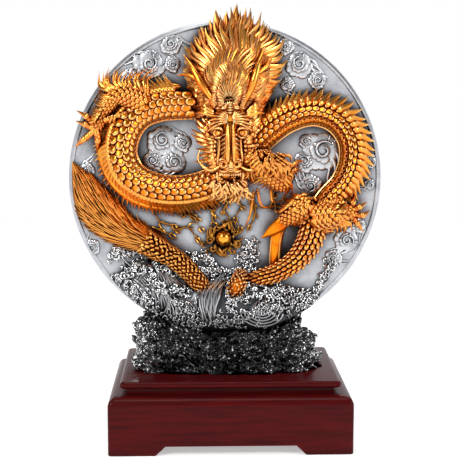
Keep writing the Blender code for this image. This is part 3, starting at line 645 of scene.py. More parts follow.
def makeSea(material):
    plan = seaPlan
    dice = random.Random(11)
    bm = bmesh.new()
    for top, foot, count, bend, broad, lift in plan["flows"]:
        tops, feet = smoothRows(top, count), smoothRows(foot, count)
        for number in range(count):
            a, b = tops[number], feet[number]
            wide = broad * dice.uniform(0.7, 1.25)
            steps = []
            start, end = dice.uniform(0, 0.25), dice.uniform(0.75, 1.05)
            for s in np.linspace(start, end, 6):
                sway = bend * math.sin(math.pi * s) + 0.009 * math.sin(s * 9 + number * 1.3)
                steps.append((a[0] + (b[0] - a[0]) * s + sway, a[1] + (b[1] - a[1]) * s,
                              wide * (1 - 0.4 * s)))
            strand(bm, onSea(steps, lift), 14, 5, 1.1)
    for line in plan["foamLines"]:
        length = sum(math.dist(p, q) for p, q in zip(line, line[1:]))
        for across, up in smoothRows(line, int(length / plan["foamPitch"])):
            spread = plan["foamSpread"]
            foamCurl(bm, dice, across + dice.gauss(0, spread), up + dice.gauss(0, spread),
                     dice.uniform(1.0, 1.7))
    for left, low, right, high, count in plan["froth"]:
        for number in range(count):
            foamCurl(bm, dice, dice.uniform(left, right), dice.uniform(low, high), dice.uniform(0.8, 1.35))
    arcs = plan["arcs"]
    for radius in arcs["radii"]:
        rows = []
        for angle in np.radians(np.linspace(186, 354, 12)):
            across = arcs["across"] + radius * math.cos(angle)
            up = arcs["up"] + radius * arcs["squat"] * math.sin(angle)
            rows.append((across, up, seaHeight(across, up) + 0.014, 0.0075))
        strand(bm, rows, 26, 8)
    return finishPiece(bm, "sea_relief", material, "disc", withinDisc=True)


bodyPlan = {
    # both coils from behind the head to the sea
    "rows": (
        (-0.020, 0.440, 0.10, 0.090), (-0.160, 0.475, 0.09, 0.098), (-0.304, 0.483, 0.06, 0.103),
        (-0.433, 0.470, 0.05, 0.103), (-0.555, 0.419, 0.05, 0.103), (-0.638, 0.310, 0.05, 0.103),
        (-0.664, 0.169, 0.05, 0.099), (-0.612, 0.040, 0.05, 0.095), (-0.484, -0.043, 0.05, 0.094),
        (-0.317, -0.069, 0.05, 0.092), (-0.150, -0.043, 0.05, 0.092), (0.004, 0.034, 0.06, 0.090),
        (0.139, 0.156, 0.07, 0.088), (0.267, 0.291, 0.07, 0.085), (0.408, 0.387, 0.06, 0.084),
        (0.562, 0.426, 0.05, 0.084), (0.703, 0.381, 0.05, 0.083), (0.793, 0.265, 0.05, 0.080),
        (0.806, 0.124, 0.05, 0.077), (0.755, -0.017, 0.05, 0.075), (0.655, -0.133, 0.06, 0.075),
        (0.585, -0.261, 0.08, 0.082), (0.545, -0.400, 0.09, 0.078), (0.466, -0.520, 0.10, 0.063),
        (0.344, -0.605, 0.10, 0.053), (0.235, -0.640, 0.09, 0.047), (0.151, -0.670, 0.07, 0.040),
    ),
    "rings": 560, "around": 34, "samples": 1200,
    "turnOver": 0.43,  # the share of the length where the back changes sides
    # rows of scales: from and to as shares of the length, degrees from the ridge, pitch, half length,
    # half width, half height, tilt, dent, rings, around
    "scales": (
        (0.05, 0.43, (-57,), 0.037, 0.019, 0.0180, 0.016, 0, 1.9, 10, 12),  # pits near the left hole
        (0.05, 0.43, (-40, -17, 7, 31), 0.050, 0.037, 0.0255, 0.015, 22, 0.30, 7, 10),  # long scales
        (0.432, 0.80, (-24,), 0.045, 0.021, 0.0185, 0.016, 0, 1.9, 10, 12),  # pits of the right coil
        (0.432, 0.80, (-3, 16), 0.043, 0.032, 0.0200, 0.014, 24, 0.35, 7, 10),  # pointed scales
        # all round the hind end
        (0.79, 0.995, range(-75, 76, 25), 0.040, 0.029, 0.0200, 0.014, 22, 0.3, 7, 10),
    ),
    # a bright cord along the inner edge of each coil: from, to, degrees, half width
    "cords": ((0.05, 0.43, -82, 0.0085), (0.432, 0.82, -80, 0.0085)),
    # fins: from, to, pitch, reach, lean, half width, degrees of the root, its lift, height of the edge
    "fins": (
        (0.08, 0.43, 0.0200, 0.150, 0.066, 0.021, 44, -0.004, 0.42),
        (0.455, 0.80, 0.034, 0.135, 0.076, 0.031, 27, 0.012, 0.40),
    ),
    "skirt": (0.07, 0.43, 0.004, 0.040, 0.052),  # from, to, how far out, how proud, half width
}


# places on the body's surface, by the distance along it and the angle from its ridge to its back
class BodyLine:
    def __init__(self, rows, samples, turnOver):
        self.line = smoothRows(rows, samples)
        steps = np.linalg.norm(np.diff(self.line[:, :3], axis=0), axis=1)
        self.gone = np.concatenate(([0], np.cumsum(steps)))
        self.length = self.gone[-1]
        self.ahead, self.side, self.out = frames(self.line)
        self.turnOver = turnOver

    def at(self, distance):
        i = int(np.clip(np.searchsorted(self.gone, distance), 0, len(self.line) - 1))
        back = 1.0 if i / (len(self.line) - 1) < self.turnOver else -1.0
        return self.line[i], self.ahead[i], self.side[i] * back, self.out[i]

    def spot(self, distance, degrees, lift=0.0):
        centre, ahead, side, out = self.at(distance)
        s, c = math.sin(math.radians(degrees)), math.cos(math.radians(degrees))
        normal = side * s + out * c
        return centre[:3] + normal * (centre[3] + lift), ahead, normal, centre[3]

    def share(self, share):
        return self.gone[int(share * (len(self.line) - 1))]


def scaleRow(bm, body, start, end, degrees, pitch, long, wide, high, shift=0.0, tilt=14, dent=0.0, rings=6,
             around=8):
    distance = start + shift * pitch
    while distance < end:
        spot, ahead, normal, radius = body.spot(distance, degrees)
        fit = radius / 0.095
        across = np.cross(ahead, normal)
        raised = ahead * math.cos(math.radians(tilt)) + normal * math.sin(math.radians(tilt))
        upward = np.cross(across, raised) * -1
        upward = upward if np.dot(upward, normal) > 0 else -upward
        axes = (np.cross(raised, upward), raised, upward)
        dome(bm, spot, (wide * fit, long, high), axes, rings, around, dent)
        distance += pitch


def makeBody(material):
    plan = bodyPlan
    body = BodyLine(plan["rows"], plan["samples"], plan["turnOver"])
    bm = bmesh.new()
    mould, unit = ballMould(plan["rings"], plan["around"])
    line = smoothRows(plan["rows"], plan["rings"] + 1)
    _, side, out = frames(line)
    row = np.rint(np.arccos(np.clip(unit[:, 2], -1, 1)) / np.pi * plan["rings"]).astype(int)
    turn = np.arctan2(unit[:, 1], unit[:, 0])
    gone = np.concatenate(([0], np.cumsum(np.linalg.norm(np.diff(line[:, :3], axis=0), axis=1))))[row]
    back = np.where(row / plan["rings"] < plan["turnOver"], 1.0, -1.0)
    belly = np.clip(-back * np.cos(turn) - 0.25, 0, 0.5) * 2  # ribs only on the belly side
    ribs = 1 - 0.045 * belly * (np.abs(np.sin(gone / 0.034 * np.pi)) < 0.35)
    half = line[row, 3] * np.sin(np.pi * row / plan["rings"]) ** 0.2 * ribs
    spots = line[row, :3] + side[row] * (half * np.cos(turn))[:, None]
    addMoved(bm, mould, spots + out[row] * (half * np.sin(turn))[:, None])
    for start, end, angles, pitch, long, wide, high, tilt, dent, rings, around in plan["scales"]:
        for number, degrees in enumerate(angles):
            scaleRow(bm, body, body.share(start), body.share(end), degrees, pitch, long, wide, high,
                     0.5 * (number % 2), tilt, dent, rings, around)
    for first, last, degrees, wide in plan["cords"]:
        rows = []
        for distance in np.linspace(body.share(first), body.share(last), 60):
            spot, _, _, _ = body.spot(distance, degrees, -0.002)
            rows.append((*spot, wide))
        strand(bm, rows, 150, 6, 1.0)
    return finishPiece(bm, "dragon_body", material, "dragon")


def finFringe(bm, body, dice, start, end, pitch, reach, lean, wide, rooted, lift, high):
    distance = start
    while distance < end:
        centre, ahead, side, out = body.at(distance)
        grown = reach * dice.uniform(0.88, 1.1)
        root, _, _, _ = body.spot(distance, rooted, lift)
        edge = centre[:3] + side * centre[3] * 0.98 + ahead * lean * 0.35
        edge[2] = centre[2] + centre[3] * high
        tip = centre[:3] + side * (centre[3] + grown * 0.52) + ahead * lean * dice.uniform(0.9, 1.2)
        tip[2] = 0.020
        rows = [(*root, wide * 0.30), (*((root + edge) / 2 + out * 0.006), wide * 0.80), (*edge, wide),
                (*tip, wide * 0.18)]
        strand(bm, rows, 14, 10, 0.75, 3, 0.10)
        distance += pitch


def makeFins(material):
    plan = bodyPlan
    dice = random.Random(23)
    body = BodyLine(plan["rows"], plan["samples"], plan["turnOver"])
    bm = bmesh.new()
    first, last, out, proud, wide = plan["skirt"]
    skirt = []
    for distance in np.linspace(body.share(first), body.share(last), 60):
        centre, _, side, _ = body.at(distance)
        spot = centre[:3] + side * (centre[3] + out)
        skirt.append((spot[0], spot[1], proud, wide))
    strand(bm, skirt, 150, 12, 0.80)
    for first, last, *settings in plan["fins"]:
        finFringe(bm, body, dice, body.share(first), body.share(last), *settings)
    return finishPiece(bm, "dragon_fins", material, "dragon")


legPlan = {
    # scaled limbs
    "limbs": (
        ((-0.50, 0.47, 0.10, 0.070), (-0.638, 0.535, 0.12, 0.055), (-0.709, 0.522, 0.11, 0.042),
         (-0.779, 0.419, 0.09, 0.036), (-0.837, 0.316, 0.07, 0.034)),
        ((0.126, 0.137, 0.13, 0.070), (0.235, 0.073, 0.15, 0.066), (0.325, -0.004, 0.13, 0.050),
         (0.383, -0.056, 0.10, 0.022)),
        ((0.55, -0.16, 0.12, 0.080), (0.480, -0.200, 0.12, 0.060), (0.420, -0.238, 0.11, 0.046),
         (0.370, -0.272, 0.09, 0.030)),
        ((0.56, -0.25, 0.13, 0.080), (0.671, -0.236, 0.14, 0.068), (0.748, -0.223, 0.12, 0.050),
         (0.825, -0.216, 0.08, 0.034)),
    ),
    # a flat smooth lower leg, and a smooth spike beside it
    "blade": ((0.390, -0.250, 0.07, 0.044), (0.338, -0.350, 0.06, 0.043), (0.322, -0.467, 0.055, 0.040),
              (0.318, -0.600, 0.05, 0.036)),
    "spike": ((0.455, -0.212, 0.110, 0.040), (0.380, -0.272, 0.105, 0.047), (0.320, -0.318, 0.090, 0.040),
              (0.270, -0.355, 0.075, 0.024), (0.226, -0.386, 0.055, 0.004)),
    # toes and claws: root, joint and tip
    "toes": (
        ((-0.825, 0.320), (-0.888, 0.350), (-0.953, 0.375)),
        ((-0.830, 0.315), (-0.901, 0.255), (-0.960, 0.205)),
        ((-0.825, 0.325), (-0.812, 0.246), (-0.822, 0.165)),
        ((-0.820, 0.330), (-0.880, 0.400), (-0.945, 0.440)),
        ((0.800, -0.212), (0.864, -0.184), (0.915, -0.145)),
        ((0.793, -0.225), (0.851, -0.287), (0.893, -0.345)),
        ((0.793, -0.215), (0.822, -0.159), (0.828, -0.095)),
        ((0.800, -0.225), (0.885, -0.235), (0.935, -0.200)),
        ((0.184, -0.060), (0.158, -0.230), (0.116, -0.329)),
        ((0.200, -0.050), (0.235, -0.170), (0.331, -0.178)),
        ((0.290, -0.010), (0.302, -0.140), (0.370, -0.133)),
        ((0.380, -0.004), (0.408, -0.069), (0.363, -0.124)),
    ),
    # fur patches: corners, direction at the first and the second side, length, count, proud,
    # how much more in the middle
    "furs": (
        (((0.12, 0.23), (0.37, 0.17), (0.40, 0.02), (0.12, 0.06)), 232, 300, 0.085, 190, 0.165, 0.085),
        (((0.44, -0.14), (0.58, -0.10), (0.56, -0.26), (0.44, -0.24)), 190, 235, 0.065, 56, 0.130, 0.060),
        (((0.58, -0.14), (0.74, -0.17), (0.76, -0.28), (0.58, -0.30)), 300, 370, 0.075, 80, 0.140, 0.070),
    ),
    # flame hair: root line from and to, direction from and to in degrees, length, how many, how proud
    "tufts": (
        ((-0.50, 0.52), (-0.70, 0.54), 70, 128, 0.190, 29, 0.135),
        ((-0.52, 0.49), (-0.72, 0.51), 60, 140, 0.120, 29, 0.150),
        ((-0.72, 0.52), (-0.82, 0.38), 120, 190, 0.085, 18, 0.135),
        ((-0.60, 0.44), (-0.76, 0.40), 200, 250, 0.080, 16, 0.135),
        ((0.10, 0.10), (0.38, 0.02), 225, 285, 0.130, 44, 0.170),
        ((0.36, 0.00), (0.43, 0.06), 290, 350, 0.060, 16, 0.150),
        ((0.36, 0.02), (0.42, 0.09), 320, 380, 0.090, 15, 0.150),
        ((0.54, -0.14), (0.42, -0.21), 185, 215, 0.075, 20, 0.150),
        ((0.54, -0.22), (0.44, -0.26), 200, 250, 0.070, 18, 0.130),
        ((0.50, -0.12), (0.40, -0.18), 140, 180, 0.090, 16, 0.150),
        ((0.58, -0.28), (0.74, -0.26), 255, 310, 0.110, 26, 0.150),
        ((0.58, -0.18), (0.76, -0.17), 30, 80, 0.090, 22, 0.150),
        ((0.58, -0.22), (0.76, -0.22), 320, 400, 0.085, 24, 0.205),
    ),
}


def fur(bm, dice, corners, start, end, length, count, proud, rise, wide=0.0105):
    # locks strewn over a patch with four corners; the directions turn from its first side to its second
    a, b, c, d = (np.array(corner) for corner in corners)
    for number in range(count):
        u, v = dice.random(), 1 - (number + dice.random()) / count
        root = (a * (1 - u) + b * u) * (1 - v) + (d * (1 - u) + c * u) * v
        angle = math.radians(start + (end - start) * u + dice.uniform(-12, 12))
        reach = length * dice.uniform(0.7, 1.15)
        bulge = rise * math.sin(math.pi * v) * math.sin(math.pi * (0.15 + 0.7 * u))
        height = proud + bulge + dice.uniform(-0.006, 0.010)
        bend = dice.choice((-1, 1)) * dice.uniform(0.3, 0.8)
        rows = []
        for s, w in ((0, 0.7), (0.3, 1.0), (0.65, 0.75), (1.0, 0.10)):
            turned = angle + bend * math.sin(s * 3.2)
            rows.append((root[0] + reach * s * math.cos(turned), root[1] + reach * s * math.sin(turned),
                         height - 0.030 * s * s, wide * w))
        strand(bm, rows, 12, 8, 0.95, 3, 0.12)


def tuft(bm, dice, first, last, start, end, length, count, proud, wide=0.0115):
    for number in range(count):
        share = (number + dice.uniform(-0.3, 0.3)) / max(count - 1, 1)
        angle = math.radians(start + (end - start) * share + dice.uniform(-6, 6))
        root = (first[0] + (last[0] - first[0]) * share, first[1] + (last[1] - first[1]) * share)
        reach = length * dice.uniform(0.72, 1.08)
        bend = dice.uniform(0.25, 0.55)
        rows = []
        for s, w in ((0, 0.75), (0.3, 1.0), (0.65, 0.72), (1.0, 0.10)):
            turned = angle + bend * math.sin(s * 3.2)
            rows.append((root[0] + reach * s * math.cos(turned), root[1] + reach * s * math.sin(turned),
                         proud * (1 - 0.60 * s * s) + dice.uniform(0.0, 0.02), wide * w))
        strand(bm, rows, 12, 8, 0.8, 3, 0.12)


def makeLegs(material):
    dice = random.Random(33)
    bm = bmesh.new()
    for rows in legPlan["limbs"]:
        strand(bm, rows, 48, 24, 0.95, 0, 0.0, 0.25)
        limb = BodyLine(rows, 300, 2.0)
        for number, degrees in enumerate(range(-75, 76, 25)):
            scaleRow(bm, limb, limb.share(0.04), limb.share(0.94), degrees, 0.030, 0.025, 0.034, 0.014,
                     0.5 * (number % 2), 26, 0.25)
    strand(bm, legPlan["blade"], 40, 20, 0.55, 0, 0.0, 0.25)
    strand(bm, legPlan["spike"], 40, 20, 0.50, 0, 0.0, 0.35)
    edge = [(a - 0.030, b, c + 0.012, 0.007) for a, b, c, w in legPlan["blade"]]
    strand(bm, edge, 30, 6, 1.0)
    strand(bm, [(a + 0.058, b, c + 0.006, w) for a, b, c, w in edge], 30, 6, 1.0)
    for root, joint, tip in legPlan["toes"]:
        thin = 0.42 if abs(root[0]) < 0.4 else 1.0  # the claws by the pearl are slim
        rows = ((*root, 0.085, 0.026 * thin), (*joint, 0.090, 0.020 * thin), (*tip, 0.035, 0.004))
        strand(bm, rows, 22, 10, 1.0)
        for share in (0.15, 0.28, 0.41, 1.0):  # knuckles
            spot = np.array(rows[0][:3]) * (1 - share) + np.array(rows[1][:3]) * share
            dome(bm, spot + (0, 0, 0.012 * thin), (0.022 * thin, 0.022 * thin, 0.018 * thin), rings=6,
                 around=8)
    for settings in legPlan["furs"]:
        fur(bm, dice, *settings)
    for settings in legPlan["tufts"]:
        tuft(bm, dice, *settings)
    return finishPiece(bm, "dragon_legs", material, "dragon")


manePlan = {
    "crown": (0.023, 0.500),
    # how far the hair reaches from the crown, at angles that turn right from straight up
    "angles": (-112, -70, -47, -37, -15, 0, 16, 37, 48, 59, 72, 92, 121),
    "reaches": (0.25, 0.27, 0.38, 0.44, 0.54, 0.61, 0.59, 0.535, 0.46, 0.39, 0.31, 0.24, 0.18),
    # balls under the hair, coloured dark as painted shade: place, sizes, turn in degrees
    "cores": (((0.060, 0.73, 0.02), (0.25, 0.28, 0.060), -8), ((0.035, 0.55, 0.04), (0.21, 0.19, 0.110), 0)),
    # count, reach, foot of the lock, proud, wide, bend in degrees
    "rows": ((42, 1.00, 0.16, 0.025, 0.038, 4), (76, 1.00, 0.15, 0.060, 0.0185, -5),
             (72, 0.90, 0.13, 0.092, 0.0170, 5),
             (64, 0.74, 0.10, 0.122, 0.0155, -6), (52, 0.56, 0.07, 0.152, 0.0135, 6),
             (40, 0.40, 0.03, 0.172, 0.0120, -6)),
}


def maneReach(angle):
    return float(np.interp(angle, manePlan["angles"], manePlan["reaches"]))


def makeMane(material):
    plan = manePlan
    dice = random.Random(8)
    crown = plan["crown"]
    first, last = plan["angles"][0], plan["angles"][-1]
    bm = bmesh.new()
    for count, reach, foot, low, wide, bend in plan["rows"]:
        for number in range(count):
            angle = first + (last - first) * (number + dice.uniform(-0.3, 0.3)) / (count - 1)
            length = maneReach(angle) * reach * dice.uniform(0.93, 1.02)
            sway = bend * dice.uniform(0.6, 1.4)
            rows = []
            for share, full in ((0.0, 0.60), (0.3, 0.95), (0.55, 1.0), (0.8, 0.85), (1.0, 0.16)):
                turn = math.radians(angle + sway * math.sin(math.tau * share * 0.85))
                out = foot + (length - foot) * share
                height = low + 0.10 * (1 - share) + 0.035 * math.sin(math.pi * share)
                rows.append((crown[0] + out * math.sin(turn), crown[1] + out * math.cos(turn), height,
                             wide * full))
            strand(bm, rows, 16, 10, 0.85, 3, 0.12)
            if number % 2:  # a thin bright hair that lies on the lock
                hair = [(a + dice.uniform(-0.006, 0.006), b, c + w * 0.8, 0.0045) for a, b, c, w in rows]
                strand(bm, hair, 14, 5, 1.0)
    return finishPiece(bm, "dragon_mane", material, "dragon")


def makeManeCore(material):
    bm = bmesh.new()
    for spot, sizes, turn in manePlan["cores"]:
        dome(bm, spot, sizes, turnedAxes(turn), 16, 32)
    return finishPiece(bm, "dragon_mane_core", material, "dragon")


headPlan = {
    "middle": 0.030,  # the face's middle line; what follows is measured from it
    # balls of the skull: place, sizes, rings, around
    "skull": (((0, 0.42, 0.13), (0.130, 0.150, 0.13), 18, 32),
              ((0, 0.52, 0.11), (0.150, 0.130, 0.125), 16, 28),
              ((0, 0.20, 0.10), (0.088, 0.17, 0.11), 16, 28)),
    # the muzzle: narrow bridge, broad nose, a lip that overhangs the teeth
    "muzzle": ((0, 0.40, 0.205, 0.070), (0, 0.30, 0.235, 0.052), (0.003, 0.20, 0.240, 0.047),
               (0.005, 0.12, 0.240, 0.058), (0.006, 0.07, 0.215, 0.064), (0.006, 0.03, 0.165, 0.040)),
    # ridges along the bridge and the tip of the nose: rings, line
    "ridges": (
        (22, ((-0.016, 0.37, 0.272, 0.010), (-0.016, 0.25, 0.291, 0.015), (-0.015, 0.14, 0.300, 0.014),
              (-0.012, 0.10, 0.290, 0.008))),
        (22, ((0.020, 0.37, 0.270, 0.008), (0.020, 0.25, 0.289, 0.010), (0.024, 0.14, 0.298, 0.010),
              (0.026, 0.10, 0.288, 0.007))),
        (14, ((0.003, 0.135, 0.286, 0.008), (0.005, 0.095, 0.294, 0.014), (0.006, 0.058, 0.272, 0.010))),
    ),
    # lines on each side of the face: rings, flatness, line
    "lines": (
        (18, 0.9, ((0.066, 0.300, 0.210, 0.010), (0.066, 0.200, 0.215, 0.012), (0.076, 0.120, 0.215, 0.013),
                   (0.070, 0.062, 0.205, 0.010))),  # upper jaw
        (14, 1.0, ((0.036, 0.300, 0.262, 0.006), (0.066, 0.326, 0.276, 0.0095), (0.106, 0.322, 0.256, 0.006),
                   (0.122, 0.300, 0.235, 0.003))),  # upper lid
        (12, 1.0, ((0.042, 0.284, 0.258, 0.004), (0.070, 0.266, 0.262, 0.0065),
                   (0.102, 0.272, 0.248, 0.004))),  # lower lid
        (16, 1.0, ((0.004, 0.060, 0.255, 0.009), (0.036, 0.050, 0.250, 0.011), (0.070, 0.062, 0.225, 0.010),
                   (0.094, 0.100, 0.190, 0.006))),  # lip
        (10, 1.0, ((0.076, 0.062, 0.215, 0.010), (0.084, 0.020, 0.222, 0.009),
                   (0.074, -0.026, 0.205, 0.002))),  # fang
        (24, 1.0, ((0.030, 0.108, 0.255, 0.011), (0.110, 0.060, 0.235, 0.011), (0.165, 0.075, 0.205, 0.010),
                   (0.205, 0.135, 0.180, 0.008), (0.190, 0.195, 0.170, 0.003))),  # whisker
    ),
    # balls on each side of the face: place, sizes, turn in degrees, rings, around, dent
    "balls": (
        ((0.155, 0.325, 0.215), (0.022, 0.022, 0.022), 0, 8, 12, 0),  # cheek
        ((0.142, 0.288, 0.205), (0.017, 0.017, 0.017), 0, 8, 12, 0),
        ((0.074, 0.296, 0.238), (0.040, 0.034, 0.026), 12, 10, 18, 0.8),  # socket of the eye
        ((0.074, 0.296, 0.248), (0.021, 0.021, 0.021), 0, 12, 18, 0),  # eye
        ((0.072, 0.293, 0.266), (0.0085, 0.0085, 0.0065), 0, 6, 10, 0),  # pupil
        ((0.044, 0.096, 0.268), (0.032, 0.029, 0.030), 0, 12, 18, 0.95),  # nostril
        *(((x, up, 0.195), (0.014, 0.014, 0.015), 0, 6, 10, 0) for x, up in (
            (0.086, 0.268), (0.092, 0.240), (0.096, 0.212), (0.097, 0.184), (0.094, 0.156), (0.088, 0.130),
        )),  # beads down the jaw
    ),
    # ridges that spread over the brow: degrees, length
    "brows": ((64, 0.085), (50, 0.100), (36, 0.115), (22, 0.130), (9, 0.140), (-4, 0.148), (-16, 0.150)),
    # flame locks on each side: first and last root, direction from and to in degrees, length, count, proud
    "cheeks": (((0.085, 0.33), (0.080, 0.10), 25, -70, 0.115, 13, 0.185),
               ((0.105, 0.37), (0.100, 0.16), 40, -45, 0.150, 11, 0.155)),
    "beard": (((-0.10, 0.025), (0.10, 0.025), (0.12, -0.095), (-0.13, -0.085)), 242, 298, 0.080, 84, 0.130,
              0.060),
    # fans over the forehead: from, to, proud, count
    "fans": ((0.030, 0.120, 0.232, 15), (0.012, 0.078, 0.252, 11)),
    # antlers with their forks, as places on the disc
    "antlers": (
        ((-0.060, 0.470, 0.23, 0.024), (-0.140, 0.590, 0.23, 0.022), (-0.205, 0.700, 0.19, 0.018),
         (-0.270, 0.800, 0.12, 0.006)),
        ((-0.170, 0.630, 0.21, 0.015), (-0.240, 0.665, 0.17, 0.012), (-0.310, 0.660, 0.12, 0.005)),
        ((0.110, 0.470, 0.24, 0.024), (0.171, 0.599, 0.25, 0.022), (0.209, 0.727, 0.22, 0.018),
         (0.250, 0.840, 0.16, 0.006)),
        ((0.190, 0.660, 0.24, 0.015), (0.262, 0.720, 0.20, 0.012), (0.300, 0.780, 0.16, 0.005)),
    ),
}


def onFace(rows, side=1):  # rows measured from the middle line, moved to their place on one side
    return [(headPlan["middle"] + side * across, *rest) for across, *rest in rows]


def makeHead(material):
    plan = headPlan
    dice = random.Random(5)
    bm = bmesh.new()
    for spot, sizes, rings, around in plan["skull"]:
        dome(bm, onFace([spot])[0], sizes, None, rings, around)
    strand(bm, onFace(plan["muzzle"]), 34, 24, 0.9, 0, 0, 0.3)
    for rings, rows in plan["ridges"]:
        strand(bm, onFace(rows), rings, 10, 0.9)
    for number in range(4):  # folds over the nose tip
        up = 0.098 - 0.012 * number
        rows = ((-0.028, up, 0.282, 0.0035), (0.005, 0.088 - 0.012 * number, 0.298 - 0.005 * number, 0.0050),
                (0.036, up, 0.282, 0.0035))
        strand(bm, onFace(rows), 10, 6, 1.0)
    for number in range(6):  # wrinkles across the bridge, between the ridges and the cheeks
        up = 0.285 - 0.028 * number
        rows = ((0.030, up + 0.004, 0.272, 0.0045), (0.048, up - 0.006, 0.255, 0.0065),
                (0.064, up - 0.020, 0.215, 0.0050))
        for side in (-1, 1):
            strand(bm, onFace(rows, side), 8, 6, 1.0)
    for side in (-1, 1):
        for rings, flat, rows in plan["lines"]:
            strand(bm, onFace(rows, side), rings, 8, flat)
        for spot, sizes, turn, rings, around, dent in plan["balls"]:
            dome(bm, onFace([spot], side)[0], sizes, turnedAxes(side * turn), rings, around, dent)
        for number, (degrees, length) in enumerate(plan["brows"]):
            turn = math.radians(degrees)
            rows = []
            for s, w in ((0, 0.0050), (0.4, 0.0085), (0.8, 0.0080), (1.0, 0.0035)):
                up = 0.388 - 0.004 * number + length * s * math.sin(turn)
                rows.append((0.012 + length * s * math.cos(turn),
                             up + 0.010 * math.sin(s * 3.1) - 0.028 * s * s, 0.290 - 0.085 * s * s, w))
            strand(bm, onFace(rows, side), 14, 8, 1.1)
        # the nostril's rolled rim
        rows = spiral(plan["middle"] + side * 0.045, 0.097, 0.036, side, 1.1, 0.282, 0.0090, 90 - side * 60,
                      12, 0.15)
        strand(bm, rows, 22, 8)
        for number in range(5):  # upper teeth
            x = 0.008 + 0.014 * number
            rows = ((x, 0.048, 0.232, 0.0065), (x, 0.030, 0.232, 0.006), (x, 0.014, 0.224, 0.0018))
            strand(bm, onFace(rows, side), 8, 6, 1.0)
        for number in range(3):  # ear
            rows = ((0.100, 0.400 + 0.012 * number, 0.235, 0.012),
                    (0.160, 0.425 + 0.024 * number, 0.225, 0.016),
                    (0.225 - 0.02 * number, 0.420 + 0.040 * number, 0.175, 0.004))
            strand(bm, onFace(rows, side), 14, 12, 0.6, 3, 0.15)
        for first, last, start, end, length, count, proud in plan["cheeks"]:
            for number in range(count):
                share = number / (count - 1)
                angle = math.radians(start + (end - start) * share + dice.uniform(-5, 5))
                x, up = first[0] + (last[0] - first[0]) * share, first[1] + (last[1] - first[1]) * share
                reach = length * dice.uniform(0.75, 1.1)
                rows = [(x + reach * s * math.cos(angle + 0.5 * s),
                         up + reach * s * math.sin(angle + 0.5 * s),
                         proud - 0.06 * s * s, 0.0165 * w)
                        for s, w in ((0, 0.7), (0.35, 1.0), (0.7, 0.7), (1.0, 0.1))]
                strand(bm, onFace(rows, side), 14, 10, 0.85, 3, 0.13)
    corners, *settings = plan["beard"]
    fur(bm, dice, onFace(corners), *settings)
    for number in range(4):  # short folds across the forehead
        up = 0.425 + 0.017 * number
        half = 0.042 - 0.004 * number
        rows = ((-half, up - 0.005, 0.255, 0.0045), (0, up, 0.272, 0.0075), (half, up - 0.005, 0.255, 0.0045))
        strand(bm, onFace(rows), 10, 6, 1.0)
    for near, far, proud, count in plan["fans"]:
        for number in range(count):
            angle = math.radians(-88 + 176 * number / (count - 1))
            rows = []
            for s, w in ((0, 0.006), (0.5, 0.0115), (1.0, 0.004)):
                out = near + (far - near) * s
                rows.append((out * math.sin(angle), 0.452 + out * math.cos(angle) * 0.8,
                             proud - 0.030 * s * s + 0.012 * math.sin(3.1 * s), w))
            strand(bm, onFace(rows), 10, 8, 1.0)
    for rows in plan["antlers"]:
        strand(bm, rows, 30, 16, 0.95, 6, 0.08)
    return finishPiece(bm, "dragon_head", material, "dragon")


flamePlan = {
    # lines of fire that branch over the disc between the coils, across and up
    "branches": (
        ((-0.464, -0.197), (-0.423, -0.270), (-0.349, -0.295), (-0.325, -0.324), (-0.243, -0.311),
         (-0.194, -0.368), (-0.153, -0.410), (-0.120, -0.451)),
        ((-0.488, -0.303), (-0.440, -0.319), (-0.366, -0.352), (-0.325, -0.324)),
        ((0.216, -0.066), (0.180, -0.116), (0.185, -0.159), (0.192, -0.220), (0.165, -0.290),
         (0.105, -0.330)),
        ((0.204, -0.183), (0.278, -0.183), (0.309, -0.128), (0.309, -0.085), (0.363, -0.054),
         (0.400, -0.035)),
        ((0.309, -0.128), (0.327, -0.177), (0.364, -0.140)),
        ((-0.170, -0.090), (-0.150, -0.160), (-0.090, -0.200), (-0.080, -0.270), (-0.030, -0.310)),
        ((-0.100, -0.080), (-0.060, -0.150), (-0.075, -0.220), (-0.020, -0.270)),
        ((0.000, -0.060), (0.015, -0.140), (-0.010, -0.200), (0.030, -0.260), (0.010, -0.320)),
        ((0.070, -0.030), (0.060, -0.110), (0.100, -0.170), (0.070, -0.240), (0.090, -0.300)),
        ((-0.240, -0.090), (-0.220, -0.160), (-0.260, -0.210), (-0.200, -0.250), (-0.170, -0.310)),
        ((-0.300, -0.110), (-0.330, -0.170), (-0.290, -0.215), (-0.230, -0.235)),
    ),
    "branchWidth": 0.0078, "twig": 0.060, "flames": 30,
    # curls round the pearl: across, up, size, hand
    "curls": ((-0.098, -0.395, 0.026, 1), (-0.082, -0.450, 0.024, -1), (0.072, -0.425, 0.026, -1),
              (0.048, -0.468, 0.022, 1),
              (-0.018, -0.482, 0.022, -1), (-0.075, -0.335, 0.022, 1), (0.062, -0.345, 0.020, -1)),
    "pearl": (-0.012, -0.383, 0.053, 0.050),  # across, up, proud, radius
}


